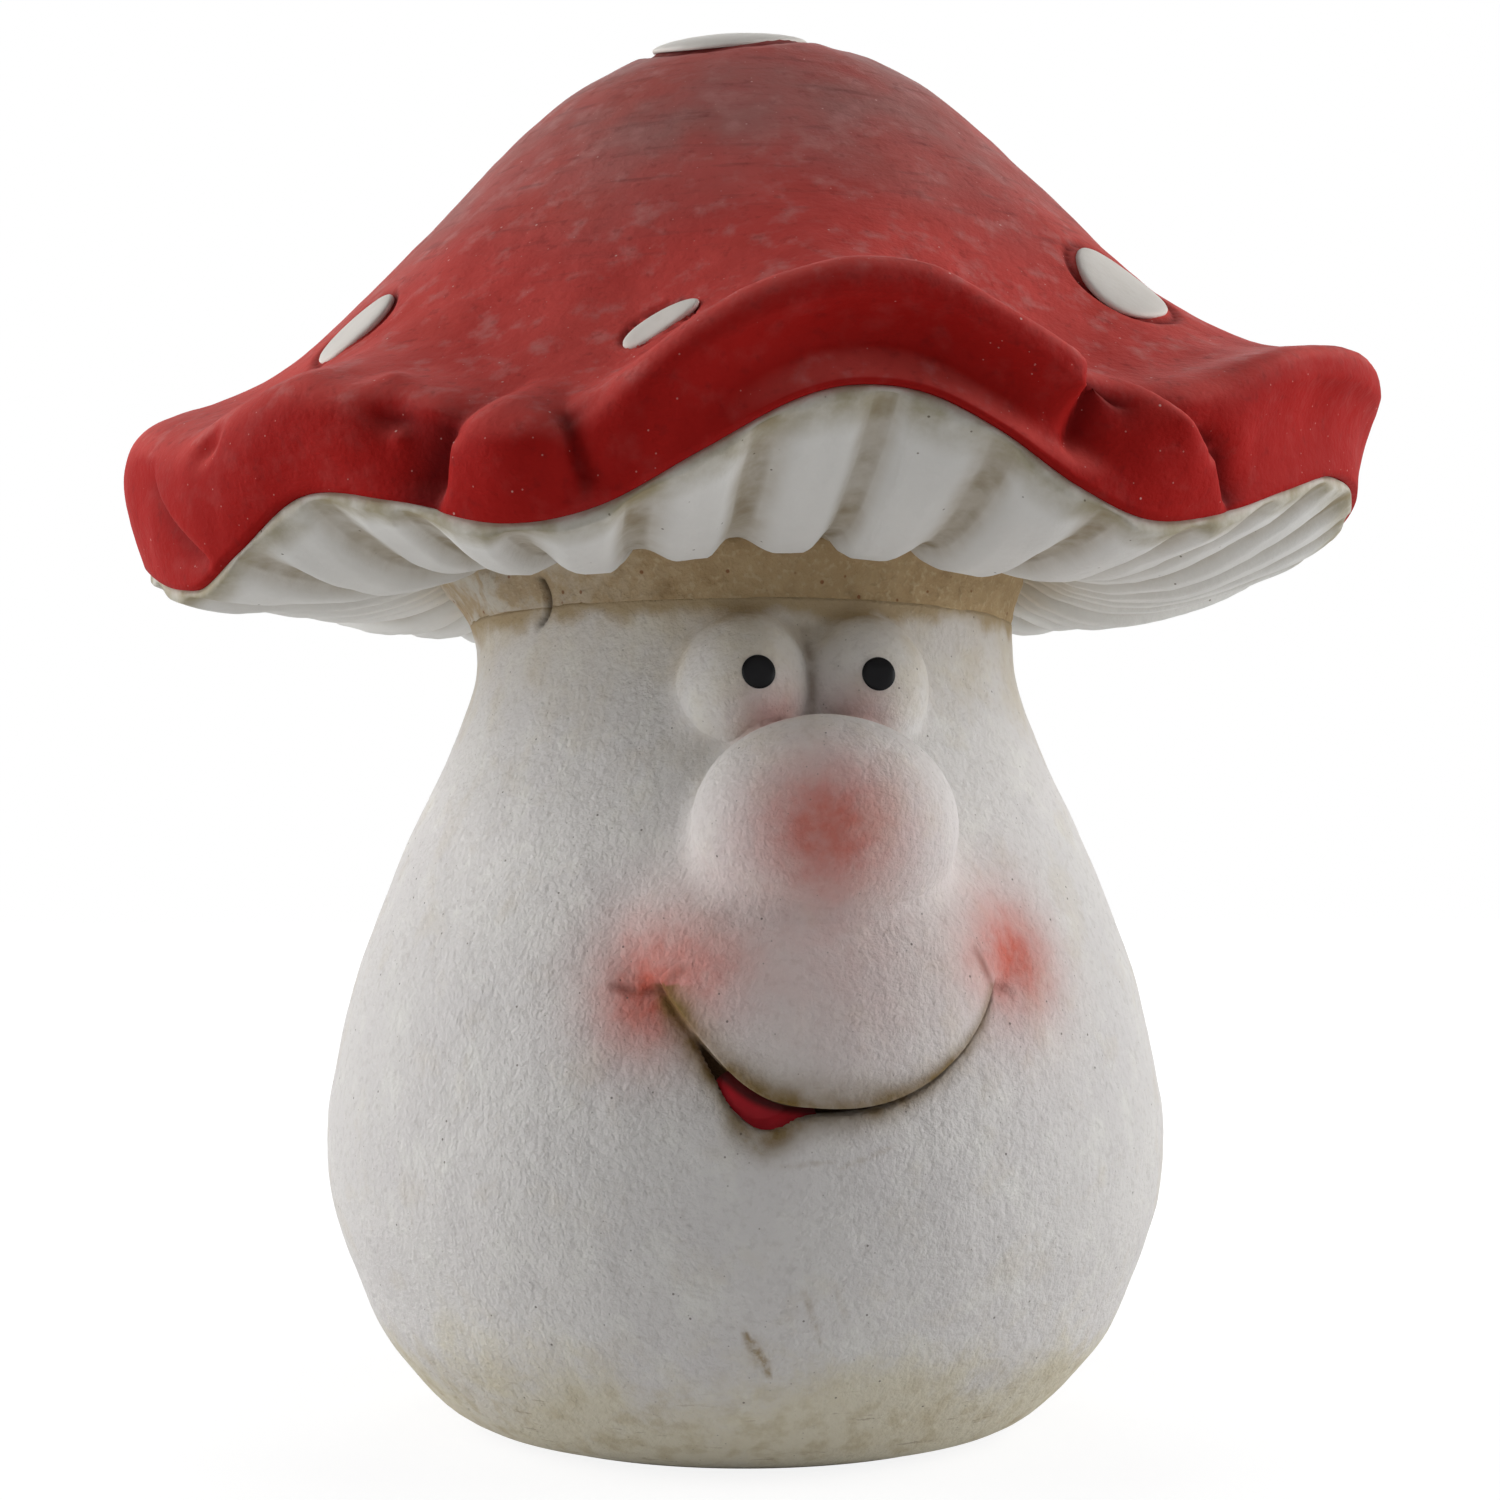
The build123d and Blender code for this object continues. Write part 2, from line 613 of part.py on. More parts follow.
def gill_plate():
    """The ring of gills: a stepped edge under the cap's edge and a collar round the spigot."""
    bore = spigot_radius() + SLIP_FILM
    collar = bore + COLLAR_WALL
    land_height, collar_top = seat_height(), seat_height() + COLLAR_HEIGHT
    land_inner = level_ring(bore, land_height)
    land_outer = level_ring(NECK_RADIUS, land_height)
    under = [under_ring((i + 1) / GILL_RINGS) for i in range(GILL_RINGS)]
    flange, step_foot, step_top = flange_ring(), step_ring(-GILL_EDGE_FILM), step_ring(GILL_STEP)
    over = [over_ring(i / GILL_RINGS) for i in range(GILL_RINGS - 2, 1, -1)]
    collar_foot = level_ring(collar, land_height + GILL_PLATE_THICKNESS)
    collar_outer, collar_inner = level_ring(collar, collar_top), level_ring(bore, collar_top)
    flat_pairs = [(land_inner, land_outer), (under[-1], flange), (flange, step_foot),
                  (step_foot, step_top), (collar_foot, collar_outer),
                  (collar_outer, collar_inner), (collar_inner, land_inner)]
    return closed_solid(Shell.make_loft([land_outer] + under),
                        Shell.make_loft([step_top] + over + [collar_foot]),
                        *[Shell.make_loft(list(pair), ruled=True) for pair in flat_pairs])


def pieces():
    """Every piece of the ornament by name."""
    cap = cap_shell()
    built = {
        "stem_shell": stem_shell(), "neck_bead": neck_bead(), "gill_plate": gill_plate(),
        "cap_shell": cap, "nose": nose(), "eye_left": eye(-1), "eye_right": eye(1),
        "pupil_left": pupil(-1), "pupil_right": pupil(1), "upper_lip": upper_lip(),
        "tongue": tongue(),
    }
    for name, azimuth, distance_share, size_share in SPOTS:
        built[name] = spot(cap, azimuth, distance_share, size_share)
    return built


def main():
    os.makedirs("parts", exist_ok=True)
    for name, piece in pieces().items():
        export_step(piece, f"parts/{name}.step")


if __name__ == "__main__":
    main()
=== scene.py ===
"""Looks of a ceramic toadstool ornament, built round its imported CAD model.

Shapes are worked out in millimetres in the CAD frame and scaled to metres when a mesh is made:
+Z up, the face looks along -Y, the origin is the centre of the foot. Azimuths are in degrees
round +Z, zero at the face and positive towards +X.
"""
import itertools
import json
import math

import bpy
import numpy as np
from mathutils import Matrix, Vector

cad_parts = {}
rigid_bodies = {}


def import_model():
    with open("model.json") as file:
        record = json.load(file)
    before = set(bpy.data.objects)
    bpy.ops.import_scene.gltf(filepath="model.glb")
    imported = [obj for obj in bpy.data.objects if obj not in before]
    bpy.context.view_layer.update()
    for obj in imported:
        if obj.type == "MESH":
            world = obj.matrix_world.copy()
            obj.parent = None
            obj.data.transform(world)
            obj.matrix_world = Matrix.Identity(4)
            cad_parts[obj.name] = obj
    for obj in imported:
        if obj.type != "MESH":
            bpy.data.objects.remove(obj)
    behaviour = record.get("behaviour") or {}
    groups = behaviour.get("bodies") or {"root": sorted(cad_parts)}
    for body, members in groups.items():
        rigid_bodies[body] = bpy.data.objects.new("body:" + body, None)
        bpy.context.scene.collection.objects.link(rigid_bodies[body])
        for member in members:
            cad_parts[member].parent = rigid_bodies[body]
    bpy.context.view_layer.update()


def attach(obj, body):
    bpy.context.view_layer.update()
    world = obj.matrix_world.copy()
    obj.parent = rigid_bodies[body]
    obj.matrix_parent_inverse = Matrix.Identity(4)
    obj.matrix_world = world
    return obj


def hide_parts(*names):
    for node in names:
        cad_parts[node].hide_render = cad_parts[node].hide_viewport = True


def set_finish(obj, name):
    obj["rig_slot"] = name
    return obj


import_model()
MM = 0.001

# Stem casting
STEM_HEIGHT = 139.5
BELLY_HEIGHT = 50.5
FOOT_RADIUS = 44.0
BELLY_RADIUS = 73.6
NECK_RADIUS = 47.6
STEM_WALL = 6.0
POUR_HOLE_RADIUS = 32.0
SPIGOT_RADIUS = 41.0
SPIGOT_LENGTH = 20.0
NECK_BEAD_HEIGHT = 8.2
SEAT_HEIGHT = STEM_HEIGHT + NECK_BEAD_HEIGHT

# Cap and gill plate
CROWN_RISE = 96.0
CROWN_RADIUS = 62.0
CROWN_FOOT_SHARE = 0.6
CROWN_LEAN_SHARE = 0.03
BRIM_RADIUS = 107.0
BRIM_EDGE_RISE = 2.8
BRIM_WAVE = 13.0
BRIM_ROLL = 25.0
BRIM_ROLL_WIDTH = 9.0
BRIM_ROLL_DROP = 6.0
BRIM_TUCK = 4.0
BRIM_END_SLOPE_SHARE = 0.1
CAP_WALL = 6.0
GILL_COUNT = 36
GILL_PLATE_THICKNESS = 4.5
GILL_DEPTH = 3.6
GILL_SAG = 3.0
GILL_SWEEP = 14.0
GILL_EDGE_SETBACK = 1.0
GILL_EDGE_DROP = 1.1

# Face: half sizes and centres of its egg shapes
NOSE_HALF = np.array([21.0, 16.5, 17.5])
EYE_HALF = np.array([11.0, 12.0, 12.5])
LIP_HALF = np.array([28.5, 17.5, 28.0])
TONGUE_HALF = np.array([8.0, 3.5, 5.0])
NOSE_HEIGHT = STEM_HEIGHT - 37.5
NOSE_STANDOFF = 2.5
EYE_RISE = 22.5
EYE_SPACING = 19.4
EYE_SINK = 3.5
LIP_DROP = 27.5
LIP_SINK = 10.3
LIP_LEAN = 14.0
SMILE_RISE = 25.0
SMILE_HALF_WIDTH = 31.0
SMILE_HALF_HEIGHT = 39.6
SMILE_CORNER_RISE = 2.5
TONGUE_DROP = 14.5
TONGUE_AZIMUTH = -9.3
TONGUE_SINK = 2.0
TONGUE_TILT = -24.0
PUPIL_RADIUS = 2.7
PUPIL_RISE = 1.8
SEAT_DEPTH = 1.5
SPOT_RADIUS = 12.0
SPOT_PROUD = 1.0

# How the clay lies over the plain shapes: fillets, pressed marks, and slip at the neck
FACE_SINK = 0.35
EYES_FILLET = 3.0
EYE_FILLET = 3.2
NOSE_FILLET = 4.2
LIP_SAG = 1.4
TONGUE_DEEPER = 2.3
PUPIL_STANDOFF = 0.45
MOUTH_DEPTH = 3.2
CREASE_DEPTH = 0.9
SPOT_RING_SHARE = 1.08
SPOT_RING_DEPTH = 0.7
FLARE_AZIMUTH = -100.0
LUMP_AZIMUTH = -66.0
LUMP_SIZE = 3.0
WHITE_AZIMUTH = -75.0
CRACK_AZIMUTH = -60.0
CRACK_HEIGHT = 141.0
CRACK_RADIUS = 5.0
SLIP_FILM = 0.2
COLLAR_RADIUS = SPIGOT_RADIUS + 5.0
COLLAR_HEIGHT = 16.0

# Columns round a piece: step in degrees at the front and at the back, half the front's width
CAP_COLUMNS = (0.36, 0.9, 85.0)
STEM_COLUMNS = (0.45, 1.8, 60.0)
BEAD_COLUMNS = (0.6, 1.2, 75.0)
GILL_COLUMNS = 22

# Rows of the grids. The stem's bands are heights from, to and step.
CAP_ROWS = 124
CAP_INNER_ROWS = 16
BRIM_RUN_SHARE = 0.42
GILL_ROWS = 84
GILL_OVER_ROWS = 20
BEAD_ROWS = 26
FOOT_ROWS = [0.0, 0.25, 0.7, 1.4]
STEM_BANDS = [(2.4, 40.0, 1.3), (40.0, 84.0, 0.45), (84.0, STEM_HEIGHT, 0.75)]

# Outline of a spot from its middle to its underside: shares of its radius and of its height
SPOT_OUT_SHARES = [0.2, 0.4, 0.6, 0.76, 0.87, 0.94, 0.985, 1.0, 0.99, 0.9, 0.5, 0.2]
SPOT_LIFT_SHARES = [1.0, 0.99, 0.96, 0.9, 0.8, 0.66, 0.45, 0.15, -0.3, -0.6, -0.7, -0.7]

# How wide the mouth gapes below the lip, square to the smile: place across the face, then gape.
GAPE = [(-30, 0.2), (-25, 0.4), (-21.5, 0.7), (-19, 2.2), (-16.5, 4.6), (-13, 5.6),
        (-9.5, 4.3), (-6.5, 2), (-3, 1), (14, 0.9), (24, 0.7), (29, 0.3)]

# Stains low on the stem: azimuth and height of both ends, width, strength.
STAINS = [(-11.6, 25.9, -8.3, 19.1, 1.3, 1), (-4.6, 33, -1.9, 24, 0.6, 0.45),
          (-1, 34, 1.5, 27, 0.45, 0.3), (-8.6, 51, -1, 51.8, 0.4, 0.3),
          (-1, 50.5, 6.7, 54, 0.4, 0.35), (-12, 55.4, -9.6, 53, 0.5, 0.3)]

# Creases at the corners of the mouth: where each starts and ends, across the face and above the
# corners' height, and its strength.
CORNER_CREASES = [(-32.5, 0.6, -28.6, -0.5, 0.9), (-29, -0.5, -25.4, 0, 0.8),
                  (-26.6, 0.2, -23.2, 3.8, 0.8), (22.6, 6.2, 25.4, 0.4, 1),
                  (25.2, 0.6, 29.5, -0.8, 0.6)]

# Blush: where it is across the face, in front of the axis and above the nose's height, its
# radius and its strength.
BLUSH = [(-3.4, -78, 0, 10.5, 0.7), (-2, -76, -1.5, 14, 0.25),
         (-27.5, -62, -23.5, 9, 0.6), (-24, -64, -21, 14, 0.3),
         (-29, -62, -31, 6.5, 0.35), (30.5, -60, -20.5, 9, 0.7),
         (28, -60, -20, 14, 0.3), (-19, -70, -22, 7, 0.35),
         (22, -70, -21, 6, 0.25), (-6.5, -57, 16.5, 5.6, 0.55),
         (7, -57, 17.5, 5, 0.4), (0, -80, -23, 16, 0.24)]

# Outlines, in the same shares as the CAD source
STEM_LOWER_SHARES = [(0, 0), (0.03, 0.17), (0.09, 0.33), (0.2, 0.51), (0.345, 0.7),
                     (0.49, 0.81), (0.74, 0.955)]
STEM_UPPER_SHARES = [(0, 0), (0.12, 0.05), (0.3, 0.18), (0.45, 0.36), (0.6, 0.57),
                     (0.74, 0.79), (0.87, 0.95), (1, 1)]
CROWN_SHARES = [(0, 1), (0.12, 0.99), (0.24, 0.965), (0.36, 0.915), (0.47, 0.835),
                (0.58, 0.71), (0.7, 0.53), (0.84, 0.285), (1, 0)]
SAG_SHARES = [(0, 0), (0.07, -1), (0.2, 0), (0.45, 1), (0.72, 0.7), (1, 0)]
RIM_SHARES = [(0, 0), (0.07, 0.6), (0.2, 0.85), (0.45, 1), (0.8, 0.92), (0.93, 0.7),
              (1, 0.3)]

# Brim: azimuth, edge height in shares of the wave, roll height in shares of the roll, reach in
# shares of the brim's radius.
BRIM_SHARES = [
    (-171, 0.55, 0.98, 0.99), (-150, 0.2, 0.95, 1.01), (-132, 0.15, 1, 1),
    (-116, 0.2, 1, 1.01), (-101, 0.05, 1, 1.02), (-86, -0.3, 1.07, 1.025),
    (-69, -0.85, 1.12, 1.01), (-61, -0.5, 1, 1.005), (-52, 0.03, 0.8, 1),
    (-42, -0.15, 0.75, 0.99), (-31.5, -0.5, 0.78, 1), (-23.5, -0.35, 0.72, 0.99),
    (-15, 0.25, 0.78, 0.985), (-7.5, 0.8, 0.72, 0.985), (-2.5, 0.98, 0.7, 0.985),
    (3.5, 0.92, 0.7, 0.985), (9.5, 0.55, 0.7, 0.995), (16.5, 0, 0.75, 1),
    (24, -0.3, 0.85, 1), (32, -0.15, 0.9, 1.005), (41.5, 0.27, 0.92, 1.015),
    (51.5, 0.66, 0.85, 1.035), (63.5, 0.7, 0.85, 1.045), (78.5, 0.45, 0.92, 1.03),
    (94, 0.3, 0.95, 1), (113, 0.4, 1, 1.01), (133, 0.7, 0.95, 0.99),
    (153, 0.3, 1, 1),
]

# The band between the ridge and the lower edge: azimuth, how far it is hollowed (or, below zero,
# swollen), and how crisp the ridge above it is, from 0 to 1.
BAND_SHAPE = [
    (-170, -1, 0.2), (-120, -1.5, 0.1), (-85, -2, 0), (-66, -2.5, 0),
    (-46, -1, 0.1), (-38, 0.5, 0.2), (-31, -2.6, 0.1), (-25, -1.2, 0.2),
    (-19, 0, 0.5), (-12, 3.4, 0.9), (-2, 5.6, 1), (9, 5.2, 1), (15, 3, 1),
    (20, 1, 0.6), (26, -1.8, 0.3), (31.5, -1, 0.5), (37, 1, 0.9), (50, 2.2, 1),
    (64, 1.6, 0.8), (80, -0.5, 0.3), (120, -1.5, 0.1),
]

# Creases in the brim: azimuth at the foot and at the head, height of foot and head above the
# lower edge, depth at the foot and at the head, width to the left and to the right.
CREASES = [
    (-38, -35, -2, 18, 5.5, 3.8, 6.5, 1.4), (-35.8, -31, 12, 36, 3.6, 0.4, 6.5, 2.4),
    (-24, -26.2, 3, 20, 2.6, 3, 1.6, 3.4), (-26, -27, 19, 30, 1.8, 0.3, 3, 3),
    (15.6, 17.4, 6, 21, 3, 4.6, 1.1, 5.5), (18, 13, 20, 30, 3, 0.4, 2, 4),
    (33.6, 29.5, 1, 12, 3.6, 4.2, 1.3, 4.6), (29.5, 19.5, 11, 30, 4.2, 1.2, 1.4, 5),
    (-65, -74, 2, 19, 2.4, 3.2, 9, 1.2), (-118, -122, 2, 26, 3.6, 1, 3.5, 2),
    (112, 108, 2, 27, 4, 1, 2, 4), (168, 172, 3, 25, 3.4, 1, 2.5, 3),
    (-152, -150, 2, 24, 2.6, 0.8, 3, 3),
]

# Dents in the brim: azimuth, height above the lower edge, depth (or, below zero, how far it
# stands out), radius.
DENTS = [(-62.5, 19, 1.5, 3.2), (-41.5, 14, 2.4, 5), (-47, 24, 1, 5),
         (-40.8, 9.5, -0.8, 1.6), (-43.5, 24.5, -0.8, 2.4), (19.8, 16, 2.2, 4),
         (33, 1.5, 1.2, 1.6), (8, 44, 1.2, 9), (-9, 36, 0.8, 8),
         (-29, 12, -1, 5), (26, 16, -1.4, 4), (-105, 16, 1.6, 6),
         (140, 18, 1.8, 6)]

# Spots: name, azimuth, distance from the axis in shares of the brim's radius, size share, and
# the share of its size that a spot has down the slope of the cap.
SPOTS = [
    ("spot_crown", -21, 0.17, 1.1, 1), ("spot_front_left", -20, 0.79, 0.46, 0.6),
    ("spot_right", 41, 0.72, 0.8, 1), ("spot_left", -66, 0.73, 0.65, 1),
    ("spot_rear_right", 104, 0.5, 1, 1), ("spot_rear", 158, 0.72, 0.9, 1),
    ("spot_rear_left", -148, 0.55, 1, 1), ("spot_far_left", -114, 0.8, 0.7, 1),
    ("spot_far_right", 124, 0.8, 0.65, 1),
]

# Camera, fitted to the photograph
CAMERA_AZIMUTH = -11.5
CAMERA_DISTANCE = 432.0
CAMERA_HEIGHT = 92.5
CAMERA_PITCH = 3.3
CAMERA_YAW = 0.108
LENS_LENGTH = 57.46
SENSOR_WIDTH = 36.0

# Lamps: name, azimuth from the camera's, elevation, distance and width in metres, and watts
LAMPS = [("left", -88.0, 18.0, 1.2, 0.9, 10.8), ("right", 87.0, 20.0, 1.2, 0.9, 10.6),
         ("front", 0.0, 30.0, 1.6, 0.8, 0.5), ("back", 180.0, 35.0, 1.6, 0.8, 6.0)]
LAMP_AIM_HEIGHT = 0.12
WORLD_STRENGTH = 0.09

# Floor. Its fade is two distances in metres, and the share of the white glow at each.
FLOOR_HALF = 6.0
FLOOR_COLOUR = (0.86, 0.86, 0.86, 1)
FLOOR_ROUGHNESS = 0.9
FLOOR_GLOW = 1.12
FLOOR_FADE = (0.08, 0.3, 0.78, 1.0)


# Curves and noise

def joined(start, end, slopes, span, t):
    """A cubic curve from start to end, with its slopes at both ends, at the share t of its span."""
    return (start * (1 + 2 * t) * (1 - t) ** 2 + end * t * t * (3 - 2 * t)
            + slopes[0] * span * t * (1 - t) ** 2 - slopes[1] * span * t * t * (1 - t))


def smooth(knots, x):
    """Values at x of a smooth open curve through knots, a list of (position, value)."""
    px, py = np.array(knots, float).T
    slope = np.empty_like(py)
    slope[1:-1] = (py[2:] - py[:-2]) / (px[2:] - px[:-2])
    slope[0] = (py[1] - py[0]) / 2 / (px[1] - px[0])
    slope[-1] = (py[-1] - py[-2]) / (px[-1] - px[-2])
    i = np.clip(np.searchsorted(px, x, side="right") - 1, 0, len(px) - 2)
    span = px[i + 1] - px[i]
    return joined(py[i], py[i + 1], (slope[i], slope[i + 1]), span, (x - px[i]) / span)


def smooth_round(table, azimuth, column=1):
    """The same for one column of a table of azimuths, as a curve that closes after a full turn."""
    knots = [(row[0] + 360 * turn, row[column]) for turn in (-1, 0, 1) for row in table]
    return smooth(knots, (np.asarray(azimuth, float) + 180) % 360 - 180)


def step(low, high, x):
    """Rises smoothly from 0 at low to 1 at high."""
    t = np.clip((x - low) / (high - low), 0, 1)
    return t * t * (3 - 2 * t)


def bell(x, width):
    """1 at x = 0, and falling softly to 0 on both sides over about the width."""
    return np.exp(-(x / width) ** 2)


def lumps(points, size, seed):
    """Soft random lumps of one size, between -1 and 1."""
    count = 32
    table = np.random.default_rng(seed).uniform(-1, 1, (count, count, count))
    cell = np.floor(points / size).astype(int)
    part = points / size - cell
    part = part * part * (3 - 2 * part)
    total = np.zeros(points.shape[:-1])
    for corner in itertools.product((0, 1), repeat=3):
        weight = np.where(corner, part, 1 - part).prod(axis=-1)
        i = (cell + corner) % count
        total += weight * table[i[..., 0], i[..., 1], i[..., 2]]
    return total


def rough(points, size, seed):
    """Lumps of three sizes, each half as large and as strong as the one before."""
    return sum(lumps(points, size / 2 ** k, seed + k) / 2 ** k for k in range(3)) / 1.75


def turned(radius, azimuth, height):
    """Points from distances from the axis, azimuths and heights."""
    turn = np.radians(azimuth)
    return np.stack(np.broadcast_arrays(radius * np.sin(turn), -radius * np.cos(turn), height),
                    axis=-1)


def rings(azimuths, *corners):
    """Rows of points round the axis, from pairs of a radius and a height."""
    return np.stack([turned(radius, azimuths, height) for radius, height in corners])


def azimuth_of(points):
    """Azimuths of points."""
    return np.degrees(np.arctan2(points[..., 0], -points[..., 1]))


def radius_of(points):
    """Distances of points from the axis."""
    return np.hypot(points[..., 0], points[..., 1])


def away(azimuth, centre):
    """Difference of azimuths, between -180 and 180."""
    return (azimuth - centre + 180) % 360 - 180


def grid_normals(grid):
    """Unit normals of a grid of points that closes from its last column to its first."""
    across = np.roll(grid, -1, 1) - np.roll(grid, 1, 1)
    along = np.gradient(grid, axis=0)
    normal = np.cross(along, across)
    return normal / np.maximum(np.linalg.norm(normal, axis=-1, keepdims=True), 1e-9)


# Meshes

def in_scene(name, data):
    """A new object of the scene."""
    thing = bpy.data.objects.new(name, data)
    bpy.context.scene.collection.objects.link(thing)
    return thing


def skin(name, grid, slot, nodes, masks=None, poles=(), ring=False, flip=False):
    """A closed mesh over a grid of points, with its columns round it. poles are the points that
    close its first and last rows; ring joins the last row to the first instead. masks cover the
    grid's first rows and are 0 on the others. flip turns the order of the rows round."""
    rows, columns = grid.shape[:2]
    order = -1 if flip else 1
    points = grid[::order].reshape(-1, 3)
    index = np.arange(rows * columns).reshape(rows, columns)
    if ring:
        index = np.vstack([index, index[:1]])
    right = np.roll(index, -1, axis=1)
    faces = np.stack([index[:-1], right[:-1], right[1:], index[1:]], axis=-1).reshape(-1, 4)
    faces = faces.tolist()
    if len(poles):
        first, last = len(points), len(points) + 1
        points = np.vstack([points, poles])
        faces += [[first, b, a] for a, b in zip(index[0], right[0])]
        faces += [[last, a, b] for a, b in zip(index[-1], right[-1])]
    mesh = bpy.data.meshes.new(name)
    mesh.from_pydata((points * MM).tolist(), [], faces)
    mesh.shade_smooth()
    for mask, values in (masks or {}).items():
        whole = np.zeros((rows, columns))
        whole[:len(values)] = values
        ends = [whole[0].mean(), whole[-1].mean()] if len(poles) else []
        flat = np.append(whole[::order], ends).astype(np.float32)
        mesh.attributes.new(mask, "FLOAT", "POINT").data.foreach_set("value", flat)
    piece = in_scene(name, mesh)
    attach(piece, "root")
    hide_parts(*nodes)
    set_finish(piece, slot)


def columns_round(front_step, back_step, front_half):
    """Azimuths round a piece, closer together at the front."""
    front = np.arange(-front_half, front_half, front_step)
    back = np.linspace(front_half, 360 - front_half,
                       int((360 - 2 * front_half) / back_step), endpoint=False)
    return np.concatenate([front, back])


# Cap

def brim_edge(azimuth):
    """Radius and height of the cap's lower edge."""
    reach = BRIM_RADIUS * smooth_round(BRIM_SHARES, azimuth, 3)
    rise = BRIM_EDGE_RISE + BRIM_WAVE * smooth_round(BRIM_SHARES, azimuth)
    return reach - BRIM_TUCK, SEAT_HEIGHT + rise


def brim_top(azimuth):
    """Radius and height where the brim's top starts to roll over."""
    radius, height = brim_edge(azimuth)
    roll = BRIM_ROLL * smooth_round(BRIM_SHARES, azimuth, 2)
    return radius + BRIM_TUCK - BRIM_ROLL_WIDTH, height + roll


def crown_knots():
    """Share of the crown's radius, and height, at the rows of its outline."""
    foot = SEAT_HEIGHT + CROWN_RISE * CROWN_FOOT_SHARE
    rise = CROWN_RISE * (1 - CROWN_FOOT_SHARE)
    return [(out, foot + rise * up) for out, up in CROWN_SHARES]


def top_height(azimuth, radius):
    """Height of the cap's top at a place inside the roll."""
    knots = crown_knots()
    (s0, z0), (s1, z1) = knots[-2:]
    r1 = CROWN_RADIUS * (1 + CROWN_LEAN_SHARE * np.sin(np.radians(azimuth)))
    r2, z2 = brim_top(azimuth)
    slopes = ((z1 - z0) / (s1 - s0) / r1, (z2 - z1) / (r2 - r1) * BRIM_END_SLOPE_SHARE)
    brim = joined(z1, z2, slopes, r2 - r1, np.clip((radius - r1) / (r2 - r1), 0, 1))
    return np.where(radius <= r1, smooth(knots, np.minimum(radius / r1, 1)), brim)


def softened(line, kernel, sign):
    """A profile smoothed along its length: mirrored at the axis, and kept at the lower edge."""
    half = len(kernel) // 2
    after = 2 * line[-1] - line[-2:-half - 2:-1]
    return np.convolve(np.concatenate([sign * line[half:0:-1], line, after]), kernel, "valid")


def cap_outlines(azimuths):
    """Radii and heights down the cap's outside at each azimuth, from the crown to the lower edge,
    and how crisp the ridge is there."""
    top_radius, top = brim_top(azimuths)
    edge_radius, edge = brim_edge(azimuths)
    hollow = smooth_round(BAND_SHAPE, azimuths)
    crisp = np.clip(smooth_round(BAND_SHAPE, azimuths, 2), 0, 1)
    curve = 1 - 0.55 * crisp
    radius = np.linspace(0.02, 1, 90)[:, None] * top_radius
    turn = np.radians(np.linspace(1, 90, 40))[:, None]
    roll_radius = top_radius + BRIM_ROLL_WIDTH * np.sin(turn) ** curve
    roll_height = top - BRIM_ROLL_DROP * (1 - np.cos(turn) ** curve)
    down = np.linspace(0, 1, 25)[1:, None]
    band_radius = roll_radius[-1] + (edge_radius - roll_radius[-1]) * down
    band_radius = band_radius - hollow * np.sin(math.pi * down ** 0.7) ** 1.3
    band_height = roll_height[-1] + (edge - roll_height[-1]) * down
    heights = np.vstack([top_height(azimuths, radius), roll_height, band_height])
    return np.vstack([radius, roll_radius, band_radius]), heights, crisp


def cap_grid(azimuths, rows):
    """The cap's outside: points by row and azimuth, and how far each is up from the edge."""
    radius, height, crisp = cap_outlines(azimuths)
    lengths = np.hypot(np.diff(radius, axis=0), np.diff(height, axis=0))
    run = np.vstack([np.zeros(len(azimuths)), np.cumsum(lengths, axis=0)])
    start = 1 - BRIM_RUN_SHARE
    spread = np.concatenate([np.linspace(0, start, rows // 2, endpoint=False),
                             np.linspace(start, 1, rows - rows // 2)])
    even = np.linspace(0, 1, 300)
    kernel = bell(np.arange(-36, 37), 17.0)
    kernel = kernel / kernel.sum()
    picked = np.empty((2, rows, len(azimuths)))
    for k in range(len(azimuths)):
        for n, (lines, sign) in enumerate(((radius, -1), (height, 1))):
            line = np.interp(even * run[-1, k], run[:, k], lines[:, k])
            line = line + (softened(line, kernel, sign) - line) * (1 - crisp[k])
            picked[n, :, k] = np.interp(spread, even, line)
    return turned(picked[0], azimuths, picked[1]), run[-1] * (1 - spread[:, None])


def crease_depth(azimuths, up, points):
    """How far the brim's creases and dents push the cap's surface in."""
    depth = np.zeros_like(up)
    radius = radius_of(points)
    for foot, head, low, high, deep_foot, deep_head, left, right in CREASES:
        t = np.clip((up - low) / (high - low), 0, 1)
        across = np.radians(away(azimuths, foot + (head - foot) * t)) * radius
        width = np.where(across < 0, left, right) * (1 + 0.25 * lumps(points, 7.0, 13))
        window = step(low - 4, low + 1, up) * (1 - step(high - 4, high + 4, up))
        deep = deep_foot + (deep_head - deep_foot) * t
        depth = np.maximum(depth, deep * window * np.exp(-np.abs(across / width) ** 1.3))
    for azimuth, height, deep, size in DENTS:
        across = np.radians(away(azimuths, azimuth)) * radius
        depth += deep * bell(np.hypot(across, up - height), size)
    return depth


def spot_distance(points, azimuth, distance_share, size_share, slope_share):
    """Distance over the cap from a spot's centre, in shares of the spot's radius."""
    distance = BRIM_RADIUS * distance_share
    centre = turned(distance, azimuth, top_height(np.array([azimuth]), np.array([distance])))[0]
    out = radius_of(points) - distance
    aside = np.maximum(((points - centre) ** 2).sum(axis=-1) - out ** 2, 0)
    return np.sqrt(aside + (out / slope_share) ** 2) / (SPOT_RADIUS * size_share)


